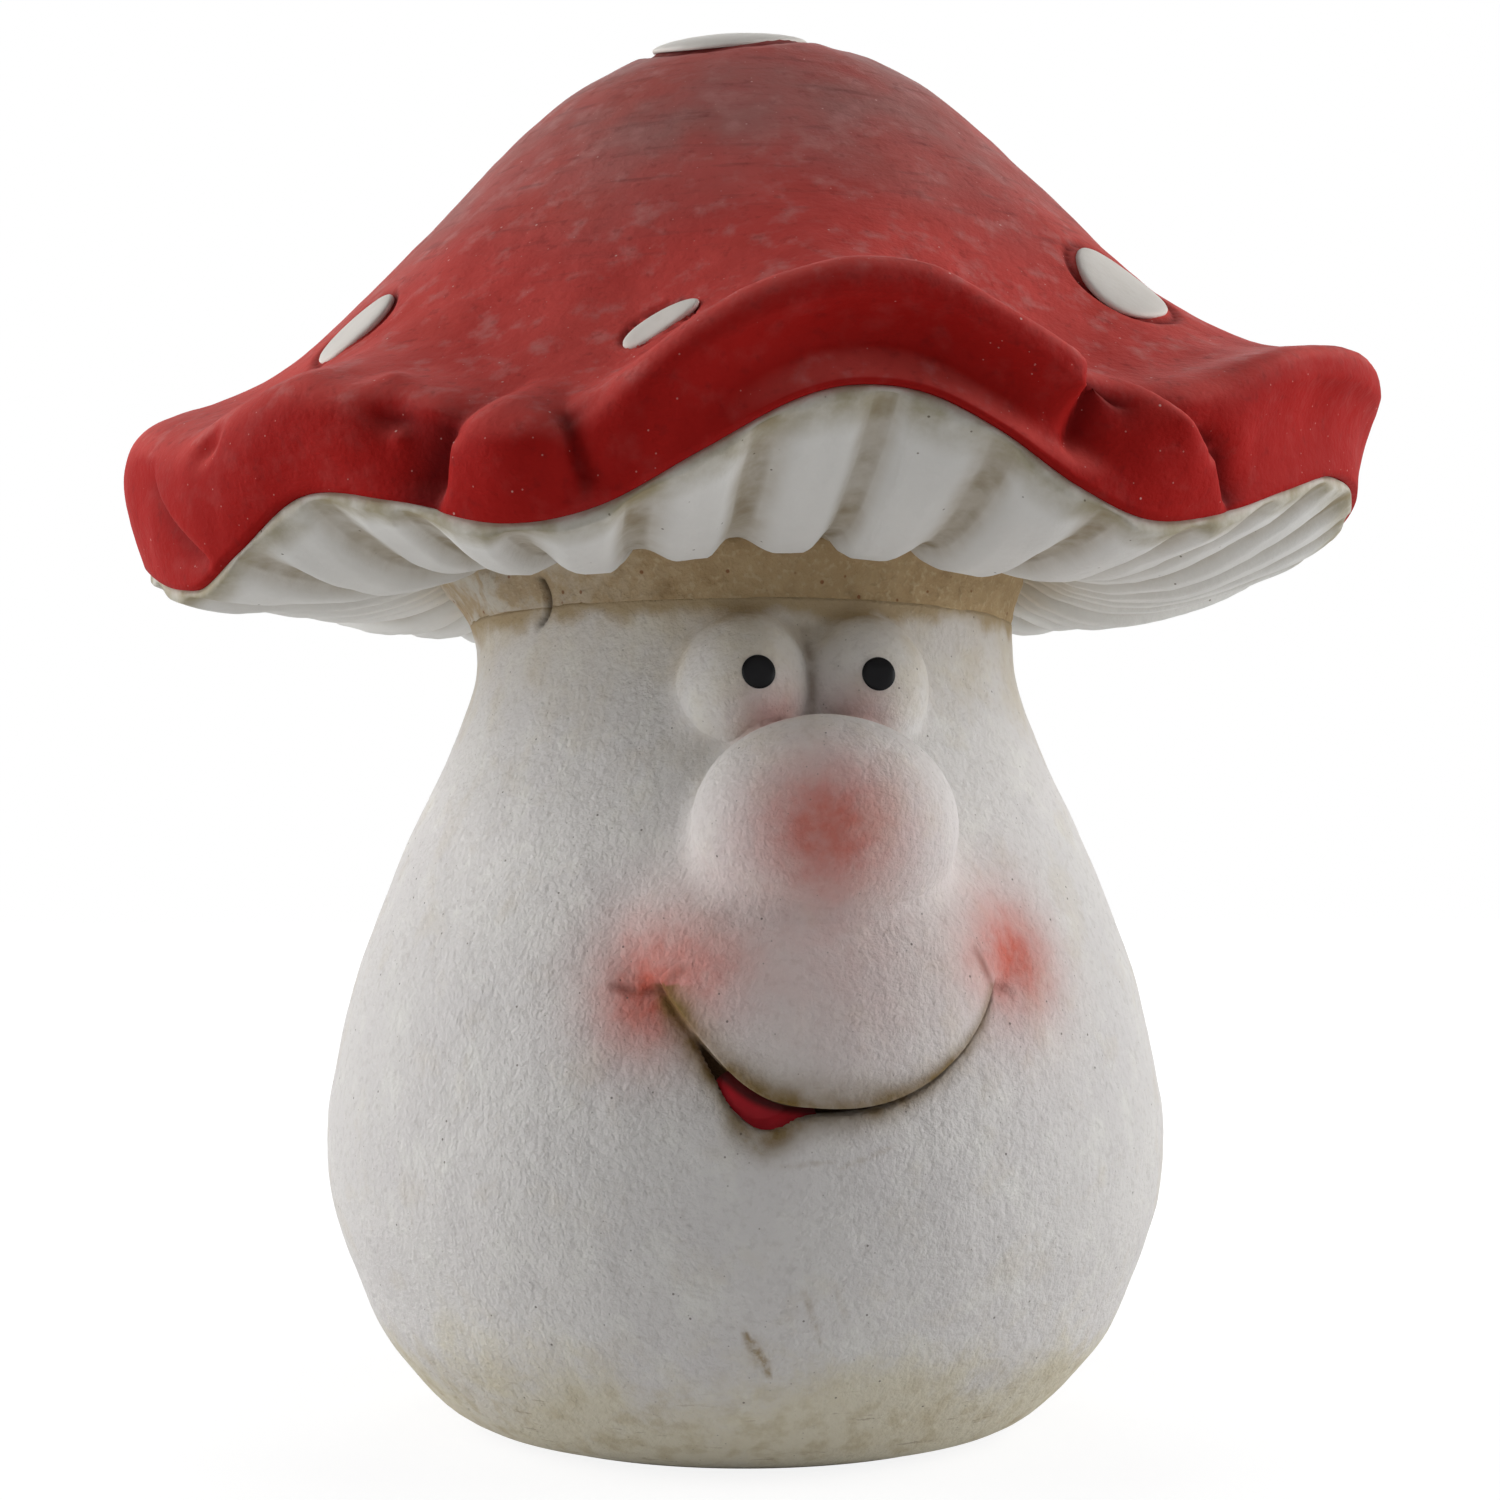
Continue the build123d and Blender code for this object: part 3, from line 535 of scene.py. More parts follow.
def cap():
    """The cap casting, with its creases and dents and a pressed ring round every spot."""
    azimuths = columns_round(*CAP_COLUMNS)
    grid, up = cap_grid(azimuths, CAP_ROWS)
    depth = crease_depth(azimuths, up, grid)
    ring_mark = np.zeros_like(up)
    for name, *place in SPOTS:
        off_ring = spot_distance(grid, *place) - SPOT_RING_SHARE
        ring_mark = np.maximum(ring_mark, bell(off_ring, 0.09))
    edge_hold = step(0, 5, up)
    sway = 0.8 * rough(grid, 26.0, 3) + 0.22 * rough(grid, 7.0, 9)
    pressed = depth * (0.25 + 0.75 * edge_hold) + SPOT_RING_DEPTH * ring_mark
    outer = grid + grid_normals(grid) * (sway * edge_hold - pressed)[..., None]
    edge_radius, edge = brim_edge(azimuths)
    inner_grid, _ = cap_grid(azimuths, CAP_INNER_ROWS)
    inner = inner_grid[::-1] - CAP_WALL * grid_normals(inner_grid)[::-1]
    inner[:3] = turned(edge_radius - CAP_WALL, azimuths, edge + np.array([[0.0], [5.0], [10.0]]))
    ridge = bell(grid[..., 2] - brim_top(azimuths)[1] + 1.0, 3.0) * (up < 45)
    # crease and ring_mark also carry the painted shade of cap_paint.
    masks = {"crease": np.clip(depth / 4, 0, 1), "ridge": ridge, "ring_mark": ring_mark, "up": up}
    top = SEAT_HEIGHT + CROWN_RISE
    skin("cap", np.vstack([outer, inner[:-1]]), "cap_paint", ["cap_shell"], masks,
         poles=[[0, 0, top], [0, 0, top - CAP_WALL]])


def spots():
    """The raised spots, flat pebbles of clay that follow the cap's top."""
    for name, azimuth, distance_share, size_share, slope_share in SPOTS:
        distance, radius = BRIM_RADIUS * distance_share, SPOT_RADIUS * size_share
        pace = radius / 4
        heights = top_height(np.array([azimuth]), np.array([distance - pace, distance + pace]))
        slope = math.atan2(heights[1] - heights[0], 2 * pace)
        turns = np.linspace(0, 2 * math.pi, 64, endpoint=False)
        wobble = 1 + 0.035 * np.sin(2 * turns + azimuth) + 0.02 * np.sin(3 * turns + 2 * azimuth)

        def place(turn, share, lift):
            """Points round the spot's middle, at a share of its radius and a height over the cap."""
            out = distance + radius * slope_share * share * np.cos(turn) * math.cos(slope)
            aside = radius * share * np.sin(turn)
            reach = np.hypot(out, aside)
            there = azimuth + np.degrees(np.arctan2(aside, out))
            flat = reach - lift * math.sin(slope)
            return turned(flat, there, top_height(there, reach) + lift * math.cos(slope))

        shares, lifts = (np.array(row)[:, None] for row in (SPOT_OUT_SHARES, SPOT_LIFT_SHARES))
        lifts = lifts * SPOT_PROUD
        grid = place(turns[::-1], shares * wobble[::-1], lifts)
        poles = [place(np.zeros(1), 0.0, lift)[0] for lift in (SPOT_PROUD, lifts[-1, 0])]
        skin(name + "_clay", grid, "spot_paint", [name], poles=poles)


# Gills

def groove_point(azimuth, share):
    """Radius and height in a gill's groove, part of the way from the neck to the edge."""
    edge_radius, edge = brim_edge(azimuth)
    radius = NECK_RADIUS + (edge_radius - GILL_EDGE_SETBACK - NECK_RADIUS) * share
    lift = (edge - GILL_EDGE_DROP - SEAT_HEIGHT) * share ** 2
    return radius, SEAT_HEIGHT + lift - GILL_SAG * smooth(SAG_SHARES, share)


def gill_azimuths(start, share):
    """Azimuths of the gills' columns, which sweep sideways towards the neck."""
    return start + GILL_SWEEP * (1 - share) * np.sin(np.radians(2 * start))


def gill_arch(start):
    """How full each gill is across its width: 0 in the channels, about 1 on its back."""
    phase = (start * GILL_COUNT / 360) % 1
    side = (2 * phase - 1) * np.where(start > 180, -1, 1)
    arch = np.where(side > 0, 1 - step(0.1, 0.95, side), 1 - step(0.45, 0.9, -side))
    uneven = np.random.default_rng(5).uniform(0.75, 1.15, GILL_COUNT)
    return arch * np.repeat(uneven, GILL_COLUMNS)


def gills():
    """The gill plate: rounded gills that overlap like tiles, with open channels between them."""
    share = np.linspace(0, 1, GILL_ROWS)[:, None]
    start = np.linspace(0, 360, GILL_COUNT * GILL_COLUMNS, endpoint=False)
    azimuths = gill_azimuths(start, share)
    ripple = 1 + 0.12 * lumps(turned(8.0 + 60.0 * share, start, 0.0), 9.0, 27)
    arch = gill_arch(start) * ripple
    radius, height = groove_point(azimuths, share)
    under = turned(radius, azimuths, height - GILL_DEPTH * smooth(RIM_SHARES, share) * arch)
    sway = 0.25 * rough(under, 6.0, 21) * (share < 0.98)
    under = under + sway[..., None] * grid_normals(under)
    over_share = np.linspace(0.94, 0.08, GILL_OVER_ROWS)[:, None]
    over_azimuths = gill_azimuths(start, over_share)
    over_radius, over_height = groove_point(over_azimuths, over_share)
    over = turned(over_radius, over_azimuths, over_height + GILL_PLATE_THICKNESS)
    edge_radius, edge = brim_edge(start)
    flange = turned(edge_radius - GILL_EDGE_SETBACK, start, edge - 0.4)[None]
    bore, top = SPIGOT_RADIUS + SLIP_FILM, SEAT_HEIGHT + COLLAR_HEIGHT
    collar = rings(azimuths[0], (COLLAR_RADIUS, SEAT_HEIGHT + GILL_PLATE_THICKNESS + 1.0),
                   (COLLAR_RADIUS, top), (bore, top), (bore, SEAT_HEIGHT))
    # groove and rim also carry the painted shade of gill_paint.
    masks = {"groove": np.clip(1 - arch, 0, 1) * step(0, 0.08, share), "inward": 1 - share,
             "rim": np.vstack([step(0.9, 1.0, share), [[1.0]]])}
    skin("gills", np.vstack([under, flange, over, collar]), "gill_paint", ["gill_plate"], masks,
         ring=True)


# Stem and face

def stem_knots():
    """Height and radius at the knots of the stem's outline."""
    lower = [(BELLY_HEIGHT * up, FOOT_RADIUS + (BELLY_RADIUS - FOOT_RADIUS) * out)
             for up, out in STEM_LOWER_SHARES]
    rise = STEM_HEIGHT - BELLY_HEIGHT
    upper = [(BELLY_HEIGHT + rise * up, BELLY_RADIUS + (NECK_RADIUS - BELLY_RADIUS) * inward)
             for up, inward in STEM_UPPER_SHARES]
    return lower + upper


def stem_radius(height):
    """Radius of the plain stem at a height."""
    return smooth(stem_knots(), height)


def stem_radius_at(points):
    """Radius of the plain stem at the height of each point."""
    return stem_radius(np.clip(points[..., 2], 0, STEM_HEIGHT))


def on_stem(azimuth, height, out=0.0):
    """A point on the plain stem, or some way out of it."""
    return turned(float(stem_radius(height)) + out, azimuth, height)


NOSE_CENTRE = on_stem(0.0, NOSE_HEIGHT, NOSE_STANDOFF)
LIP_CENTRE = on_stem(0.0, NOSE_HEIGHT - LIP_DROP, -LIP_SINK)
TONGUE_CENTRE = on_stem(TONGUE_AZIMUTH, NOSE_HEIGHT - LIP_DROP - TONGUE_DROP, -TONGUE_SINK)
SMILE_HEIGHT = NOSE_HEIGHT - LIP_DROP + SMILE_RISE
CORNER_HEIGHT = NOSE_HEIGHT - LIP_DROP + SMILE_CORNER_RISE


def eye_centre(side):
    """Centre of the left (-1) or right (1) eyeball."""
    centre = on_stem(0.0, NOSE_HEIGHT + EYE_RISE, -EYE_SINK)
    return centre + np.array([side * EYE_SPACING / 2, 0, 0])


def leaned(points, angle):
    """Points turned about the X axis, so that a positive angle leans their top backwards."""
    turn = math.radians(angle)
    x, y, z = np.moveaxis(points, -1, 0)
    return np.stack([x, y * math.cos(turn) + z * math.sin(turn),
                     z * math.cos(turn) - y * math.sin(turn)], axis=-1)


def oval_distance(points, half):
    """Rough distance outside an oval round the origin, from its half sizes."""
    near = np.linalg.norm(points / half, axis=-1)
    return near * (near - 1) / np.maximum(np.linalg.norm(points / half ** 2, axis=-1), 1e-6)


def egg_distance(points, centre, half, lean=0.0):
    """Rough distance outside an egg shape."""
    return oval_distance(leaned(points - centre, -lean), half)


def blend(a, b, width):
    """The smaller of two distances, with a fillet where they meet."""
    mix = np.clip(0.5 + 0.5 * (b - a) / width, 0, 1)
    return b + (a - b) * mix - width * mix * (1 - mix)


def smile_distance(points):
    """Height above the line of the smile, measured square to it, in front view."""
    half = np.array([SMILE_HALF_WIDTH, SMILE_HALF_HEIGHT])
    flat = np.stack([points[..., 0], points[..., 2] - SMILE_HEIGHT], axis=-1)
    return LIP_SAG * bell(points[..., 0] + 13.5, 7.5) - oval_distance(flat, half)


def face_distance(points):
    """Distance outside the stem with the forms of the face blended into it."""
    stem = (radius_of(points) - stem_radius_at(points)) * 0.93
    lip = egg_distance(points, LIP_CENTRE, LIP_HALF, LIP_LEAN)
    lip = np.maximum(lip, -smile_distance(points))
    fillet = 2.0 + 7.0 * step(CORNER_HEIGHT - 2, CORNER_HEIGHT + 12, points[..., 2])
    body = blend(stem, lip + FACE_SINK, fillet)
    left, right = (egg_distance(points, eye_centre(side), EYE_HALF) for side in (-1, 1))
    body = blend(body, blend(left, right, EYES_FILLET) + FACE_SINK, EYE_FILLET)
    return blend(body, egg_distance(points, NOSE_CENTRE, NOSE_HALF) + FACE_SINK, NOSE_FILLET)


def outer_radius(azimuths, heights):
    """Radius of the outermost face or stem surface at each azimuth and height."""
    radius = np.full(np.broadcast(azimuths, heights).shape, BELLY_RADIUS + 14.0)
    for _ in range(70):
        radius = radius - 0.6 * face_distance(turned(radius, azimuths, heights))
    return radius


def stroke(x, z, start, end):
    """How far along a straight stroke each place is, from 0 to 1, and how far off it."""
    span = np.subtract(end, start)
    t = np.clip(((x - start[0]) * span[0] + (z - start[1]) * span[1]) / (span @ span), 0, 1)
    return t, np.hypot(x - start[0] - span[0] * t, z - start[1] - span[1] * t)


def crease_mark(x, z):
    """The creases at the corners of the mouth."""
    crease = 0.0
    for ax, az, bx, bz, strength in CORNER_CREASES:
        t, off = stroke(x, z, (ax, az), (bx, bz))
        taper = np.sqrt(np.sin(math.pi * (0.1 + 0.8 * t)))
        crease = np.maximum(crease, bell(off, 0.8) * strength * taper)
    return crease


def mouth_marks(points):
    """How deep the mouth is cut, the wash round it and the creases at its corners, from 0 to 1."""
    x, z = points[..., 0], points[..., 2] - CORNER_HEIGHT
    drop = -smile_distance(points)
    reach = 1 - step(25.0, 27.5, np.abs(x + 0.5))
    gape = smooth(GAPE, np.clip(x, GAPE[0][0], GAPE[-1][0]))
    below = step(-0.8, 0.1, drop) * (1 - step(gape * 0.75, gape * 0.75 + 0.7, drop))
    # The slot is cut in and painted near-black: partly a drawn line, partly painted shade in the
    # gape.
    slot = below * reach * (z < 0.5) * (0.25 + 0.75 * step(-22.5, -18.5, x))
    slot = slot * (1 - 0.7 * step(1.5, 4.5, radius_of(points) - stem_radius_at(points)))
    middle, left = bell(x + 4.0, 15.0), bell(x + 22.0, 7.0)
    wash = np.where(drop < 0.5, bell(np.minimum(drop, 0), 1.0 + 3.2 * middle + 1.2 * left),
                    bell(drop - gape, 1.8 + 1.4 * middle + 1.4 * left)) * reach * (z < 1)
    front = points[..., 1] < 0
    return slot * front, wash * front, crease_mark(x, z) * front


def seam_marks(points):
    """How close each point lies to a joint between two pieces of the face."""
    stem = np.abs(radius_of(points) - stem_radius_at(points))
    left, right = (egg_distance(points, eye_centre(side), EYE_HALF) for side in (-1, 1))
    eyes = np.minimum(np.abs(left), np.abs(right))
    nose = np.abs(egg_distance(points, NOSE_CENTRE, NOSE_HALF))
    between = bell(left - right, 1.5) * bell(eyes, 2.2) * step(0.5, 2.0, nose)
    seams = [0.85 * between, 0.28 * bell(np.maximum(eyes, stem), 1.6),
             0.3 * bell(np.maximum(eyes, nose), 1.6), 0.2 * bell(np.maximum(nose, stem), 1.8)]
    return np.max(seams, axis=0) * (points[..., 1] < 0)


def stain_marks(points):
    """Smears and thin runs of brown wash low on the stem."""
    degree, total = math.radians(1.0) * BELLY_RADIUS, 0.0
    for a0, z0, a1, z1, width, strength in STAINS:
        t, off = stroke(azimuth_of(points) * degree, points[..., 2],
                        (a0 * degree, z0), (a1 * degree, z1))
        taper = 0.3 + 0.7 * np.sin(math.pi * t) ** 0.7
        total = np.maximum(total, strength * bell(off, width * taper))
    return total


def blush_mark(points):
    """Coral blush on the nose, the cheeks and under the eyes."""
    total = 0.0
    for x, y, z, size, strength in BLUSH:
        centre = np.array([x, y, z + NOSE_HEIGHT])
        total = total + strength * bell(np.linalg.norm(points - centre, axis=-1), size)
    return np.clip(total, 0, 1)


def face_masks(points):
    """Every painted mark of the face and the stem, by name."""
    slot, wash, crease = mouth_marks(points)
    return {"line": slot, "wash": wash, "crease": crease, "blush": blush_mark(points),
            "seam": seam_marks(points), "stain": stain_marks(points),
            "lip_shade": 1 - step(0.8, 2.1, -smile_distance(points))}


def neck_flare(azimuths, heights):
    """How far the slip and the stem swell out towards the gills, most on the lump's side."""
    rise = step(STEM_HEIGHT - 12, SEAT_HEIGHT + 2, heights) ** 2
    return rise * (1.0 + 5.6 * bell(away(azimuths, FLARE_AZIMUTH), 38.0)) + 2.0 * rise ** 4


def crack_mark(azimuths, heights):
    """A crescent crack round the lump of slip at the neck, darkened in the paints as painted shade.
    """
    x = np.radians(away(azimuths, CRACK_AZIMUTH)) * NECK_RADIUS
    z = heights - CRACK_HEIGHT
    return bell(np.hypot(x, z) - CRACK_RADIUS, 0.6) * step(0.5, 3.0, x) * (z < 3.0)


def stem_inside(azimuths):
    """The stem's hidden surfaces, from the spigot down the hollow to the pour hole."""
    bore, tip = SPIGOT_RADIUS - STEM_WALL, STEM_HEIGHT + SPIGOT_LENGTH
    upper = rings(azimuths, (SPIGOT_RADIUS, STEM_HEIGHT), (SPIGOT_RADIUS, tip), (bore, tip),
                  (bore, STEM_HEIGHT - STEM_WALL))
    squeeze = (STEM_HEIGHT - 2 * STEM_WALL) / STEM_HEIGHT
    inside = np.linspace(STEM_HEIGHT, 0, 24)[:, None]
    inner = turned(stem_radius(inside) - STEM_WALL, azimuths, STEM_WALL + inside * squeeze)
    foot = rings(azimuths, (POUR_HOLE_RADIUS, STEM_WALL), (POUR_HOLE_RADIUS, 0.0))
    return np.vstack([upper, inner, foot])


def stem():
    """The stem casting, with the face blended into it and the mouth and creases cut in."""
    azimuths = columns_round(*STEM_COLUMNS)
    heights = np.concatenate([FOOT_ROWS, *(np.arange(*band) for band in STEM_BANDS),
                              [STEM_HEIGHT - 0.1]])[:, None]
    radius = outer_radius(azimuths, heights)
    grid = turned(radius, azimuths, heights)
    slot, _, crease = mouth_marks(grid)
    crack = crack_mark(azimuths, heights)
    radius = radius - MOUTH_DEPTH * slot - CREASE_DEPTH * crease - crack
    hold = step(0, 6, heights)
    radius = radius + hold * (0.45 * rough(grid, 22.0, 31) + 0.16 * rough(grid, 5.0, 37))
    outer = turned(radius + neck_flare(azimuths, heights), azimuths, heights)
    skin("stem", np.vstack([outer, stem_inside(azimuths)]), "stem_paint", ["stem_shell"],
         face_masks(outer) | {"crack": crack}, ring=True, flip=True)


def egg_piece(name, node, centre, half, slot="stem_paint", tilt=0.0, lean=0.0, trim=None,
              pace=0.5):
    """An egg shape of clay, flattened at its back where it lies in its seat in the stem."""
    count = int(2 * math.pi * max(half) / pace)
    turns = np.linspace(0, 2 * math.pi, count, endpoint=False)
    tips = np.linspace(0, math.pi, count // 2)[1:-1, None]
    unit = np.stack(np.broadcast_arrays(np.sin(tips) * np.cos(turns), -np.cos(tips),
                                        np.sin(tips) * np.sin(turns)), axis=-1)
    unit_poles = np.array([[0.0, -1, 0], [0.0, 1, 0]])
    turn = math.radians(tilt)

    def place(ball):
        """Points of a ball, drawn out to the egg shape and moved to where it sits."""
        x, y, z = np.moveaxis(ball * half, -1, 0)
        tipped = np.stack([x * math.cos(turn) - z * math.sin(turn), y,
                           x * math.sin(turn) + z * math.cos(turn)], axis=-1)
        points = centre + leaned(tipped, lean)
        points = points + ball * (0.18 * rough(points, 9.0, 41)
                                  + 0.07 * rough(points, 3.0, 47))[..., None]
        if trim:
            points = trim(points)
        seat = stem_radius_at(points) - SEAT_DEPTH + SLIP_FILM
        push = np.maximum(seat / np.maximum(radius_of(points), 1), 1)
        points[..., :2] *= push[..., None]
        return points

    grid, poles = place(unit), place(unit_poles)
    return skin(name, grid[:, ::-1], slot, [node], face_masks(grid[:, ::-1]), poles=poles)


def above_smile(points):
    """Points of the lip lifted so that none lies below the line of the smile."""
    drop = np.maximum(-smile_distance(points), 0)
    flat = np.stack([points[..., 0], np.zeros(points.shape[:-1]),
                     points[..., 2] - SMILE_HEIGHT], axis=-1)
    outward = flat / np.array([SMILE_HALF_WIDTH, 1, SMILE_HALF_HEIGHT]) ** 2
    outward = outward / np.maximum(np.linalg.norm(outward, axis=-1, keepdims=True), 1e-9)
    return points - outward * drop[..., None]


def face():
    """The nose, the eyeballs, the upper lip and the tongue."""
    egg_piece("nose_clay", "nose", NOSE_CENTRE, NOSE_HALF)
    for side, word in ((-1, "left"), (1, "right")):
        egg_piece("eye_" + word + "_clay", "eye_" + word, eye_centre(side), EYE_HALF, pace=0.4)
    egg_piece("lip_clay", "upper_lip", LIP_CENTRE, LIP_HALF, lean=LIP_LEAN, trim=above_smile)
    deeper = on_stem(TONGUE_AZIMUTH, TONGUE_CENTRE[2], -TONGUE_SINK - TONGUE_DEEPER)
    egg_piece("tongue_clay", "tongue", deeper, TONGUE_HALF, "tongue_paint", TONGUE_TILT, pace=0.3)


def pupils():
    """Round dabs of black paint on the fronts of the eyeballs."""
    half = EYE_HALF + PUPIL_STANDOFF
    turns = np.linspace(0, 2 * math.pi, 48, endpoint=False)
    shares = np.array([0.25, 0.5, 0.75, 0.9, 0.97, 1.0, 1.0])[:, None]
    sinks = np.array([0, 0, 0.02, 0.08, 0.18, 0.35, 1.2])[:, None]
    x = PUPIL_RADIUS * shares * np.cos(turns)
    z = PUPIL_RISE + PUPIL_RADIUS * shares * np.sin(turns)
    y = -half[1] * np.sqrt(1 - (x / half[0]) ** 2 - (z / half[2]) ** 2) + sinks
    for side, word in ((-1, "left"), (1, "right")):
        grid = eye_centre(side) + np.stack([x, y, z], axis=-1)
        skin("pupil_" + word + "_paint", grid[:, ::-1], "pupil_paint", ["pupil_" + word],
             poles=[grid[0].mean(0), grid[-1].mean(0)])


def neck_bead():
    """The rough band of slip between the stem and the gills, with one lump at its left."""
    azimuths = columns_round(*BEAD_COLUMNS)
    low, high = STEM_HEIGHT - 0.3, SEAT_HEIGHT + 1.2
    turn = np.linspace(0, math.pi, BEAD_ROWS)[:, None]
    heights = (low + high) / 2 - (high - low) / 2 * np.cos(turn)
    radius = NECK_RADIUS - 1.0 + np.sin(np.maximum(turn, math.pi / 2)) ** 0.25
    grid = turned(radius, azimuths, heights)
    lump = (LUMP_SIZE * bell(np.radians(away(azimuths, LUMP_AZIMUTH)) * NECK_RADIUS, 5.0)
            * bell(heights - STEM_HEIGHT - 3.0, 4.0))
    crack = crack_mark(azimuths, heights)
    coarse = (0.45 * rough(grid, 5.0, 61) + 0.3 * rough(grid, 1.6, 67)) * step(low, low + 2, heights)
    radius = radius + lump - crack + coarse + neck_flare(azimuths, heights)
    outer = turned(radius, azimuths, heights)
    bore = SPIGOT_RADIUS + SLIP_FILM
    inner = rings(azimuths, (bore, SEAT_HEIGHT), (bore, STEM_HEIGHT))
    masks = {"crack": crack, "white": bell(away(azimuths, WHITE_AZIMUTH), 32.0) + 0 * heights}
    skin("neck_slip", np.vstack([outer, inner]), "slip", ["neck_bead"], masks, ring=True, flip=True)


# Materials

def srgb(red, green, blue):
    """A linear colour from 0 to 255 screen values."""
    return tuple((v / 255 / 12.92 if v <= 10 else ((v / 255 + 0.055) / 1.055) ** 2.4)
                 for v in (red, green, blue)) + (1.0,)


class Nodes:
    """A short way to write the nodes of a material or of the world."""

    def __init__(self, owner):
        owner.use_nodes = True
        self.tree = owner.node_tree

    def node(self, kind, inputs=None, **settings):
        """A new node with its settings, and its inputs by name or number: links or values."""
        node = self.tree.nodes.new(kind)
        for key, value in settings.items():
            setattr(node, key, value)
        for key, value in (inputs or {}).items():
            if isinstance(value, bpy.types.NodeSocket):
                self.tree.links.new(value, node.inputs[key])
            else:
                node.inputs[key].default_value = value
        return node

    def math(self, operation, a, b):
        """The result of a sum, kept between 0 and 1."""
        node = self.node("ShaderNodeMath", {0: a, 1: b}, operation=operation, use_clamp=True)
        return node.outputs[0]

    def times(self, a, b):
        """The product of two values."""
        return self.math("MULTIPLY", a, b)

    def background_rays(self):
        """1 for the rays that see the background as white: camera, glossy and transmission rays."""
        rays = self.node("ShaderNodeLightPath").outputs
        seen = self.math("MAXIMUM", rays["Is Camera Ray"], rays["Is Glossy Ray"])
        return self.math("MAXIMUM", seen, rays["Is Transmission Ray"])

    def show(self, output, amount, plain, white):
        """Sends the plain shader to an output, and the white one as far as the amount says."""
        shaders = {0: amount, 1: plain.outputs[0], 2: white.outputs[0]}
        mixer = self.node("ShaderNodeMixShader", shaders)
        self.tree.links.new(mixer.outputs[0], self.tree.nodes[output].inputs["Surface"])


class Paint(Nodes):
    """One material, painted coat over coat."""

    def __init__(self, name, roughness, specular):
        self.material = bpy.data.materials.new(name)
        super().__init__(self.material)
        self.shader = self.tree.nodes["Principled BSDF"]
        self.shader.inputs["Roughness"].default_value = roughness
        self.shader.inputs["Specular IOR Level"].default_value = specular
        self.place = self.node("ShaderNodeTexCoord").outputs["Object"]

    def mask(self, name):
        """One of the marks that a piece's mesh carries."""
        return self.node("ShaderNodeAttribute", attribute_name=name).outputs["Fac"]

    def stretched(self, x, y, z):
        """The place on the piece, scaled along each axis."""
        inputs = {"Vector": self.place, "Scale": (x, y, z)}
        return self.node("ShaderNodeMapping", inputs).outputs[0]

    def noise(self, size, detail=3.0, place=None, roughness=0.55):
        """Noise whose features are about size millimetres across."""
        inputs = {"Vector": place or self.place, "Scale": 1 / (size * MM), "Detail": detail,
                  "Roughness": roughness}
        return self.node("ShaderNodeTexNoise", inputs).outputs["Fac"]

    def span(self, value, low, high, to_low=0.0, to_high=1.0, kind="SMOOTHSTEP"):
        """value moved from one range to another, with soft ends unless its kind is LINEAR."""
        inputs = {"Value": value, "From Min": low, "From Max": high, "To Min": to_low,
                  "To Max": to_high}
        return self.node("ShaderNodeMapRange", inputs, interpolation_type=kind).outputs[0]

    def specks(self, size, share, reach):
        """Small round specks in a share of the cells of a given size."""
        inputs = {"Vector": self.place, "Scale": 1 / (size * MM)}
        cells = self.node("ShaderNodeTexVoronoi", inputs).outputs
        red = self.node("ShaderNodeSeparateColor", {0: cells["Color"]}).outputs[0]
        chosen = self.math("LESS_THAN", red, share)
        return self.times(self.span(cells["Distance"], reach, reach * 0.5), chosen)

    def upward_part(self, vector):
        """The Z part of a vector."""
        return self.node("ShaderNodeSeparateXYZ", {0: vector}).outputs["Z"]

    def height(self):
        """Height above the ground, in metres."""
        return self.upward_part(self.place)

    def upward(self):
        """How far the surface faces up, from -1 to 1."""
        return self.upward_part(self.node("ShaderNodeNewGeometry").outputs["Normal"])

    def mix(self, amount, a, b):
        """Colour a, with colour b over it as far as the amount says."""
        inputs = {"Factor": amount, "A": a, "B": b}
        return self.node("ShaderNodeMix", inputs, data_type="RGBA").outputs["Result"]

    def ground(self, cloud, colour, other):
        """The first coat, two colours in a soft cloud."""
        self.colour = self.mix(cloud, srgb(*colour), srgb(*other))

    def coat(self, colour, amount, share=1.0):
        """A colour over the last coat, by an amount and a share of it."""
        if share != 1.0:
            amount = self.times(amount, share)
        self.colour = self.mix(amount, self.colour, srgb(*colour))

    def bump(self, *layers):
        """Bumps from pairs of a value and its height in millimetres."""
        below = {}
        for value, tall in layers:
            inputs = {"Distance": tall * MM, "Height": value} | below
            below = {"Normal": self.node("ShaderNodeBump", inputs).outputs["Normal"]}
        self.tree.links.new(below["Normal"], self.shader.inputs["Normal"])

    def done(self):
        """The finished material."""
        self.tree.links.new(self.colour, self.shader.inputs["Base Color"])
        return self.material


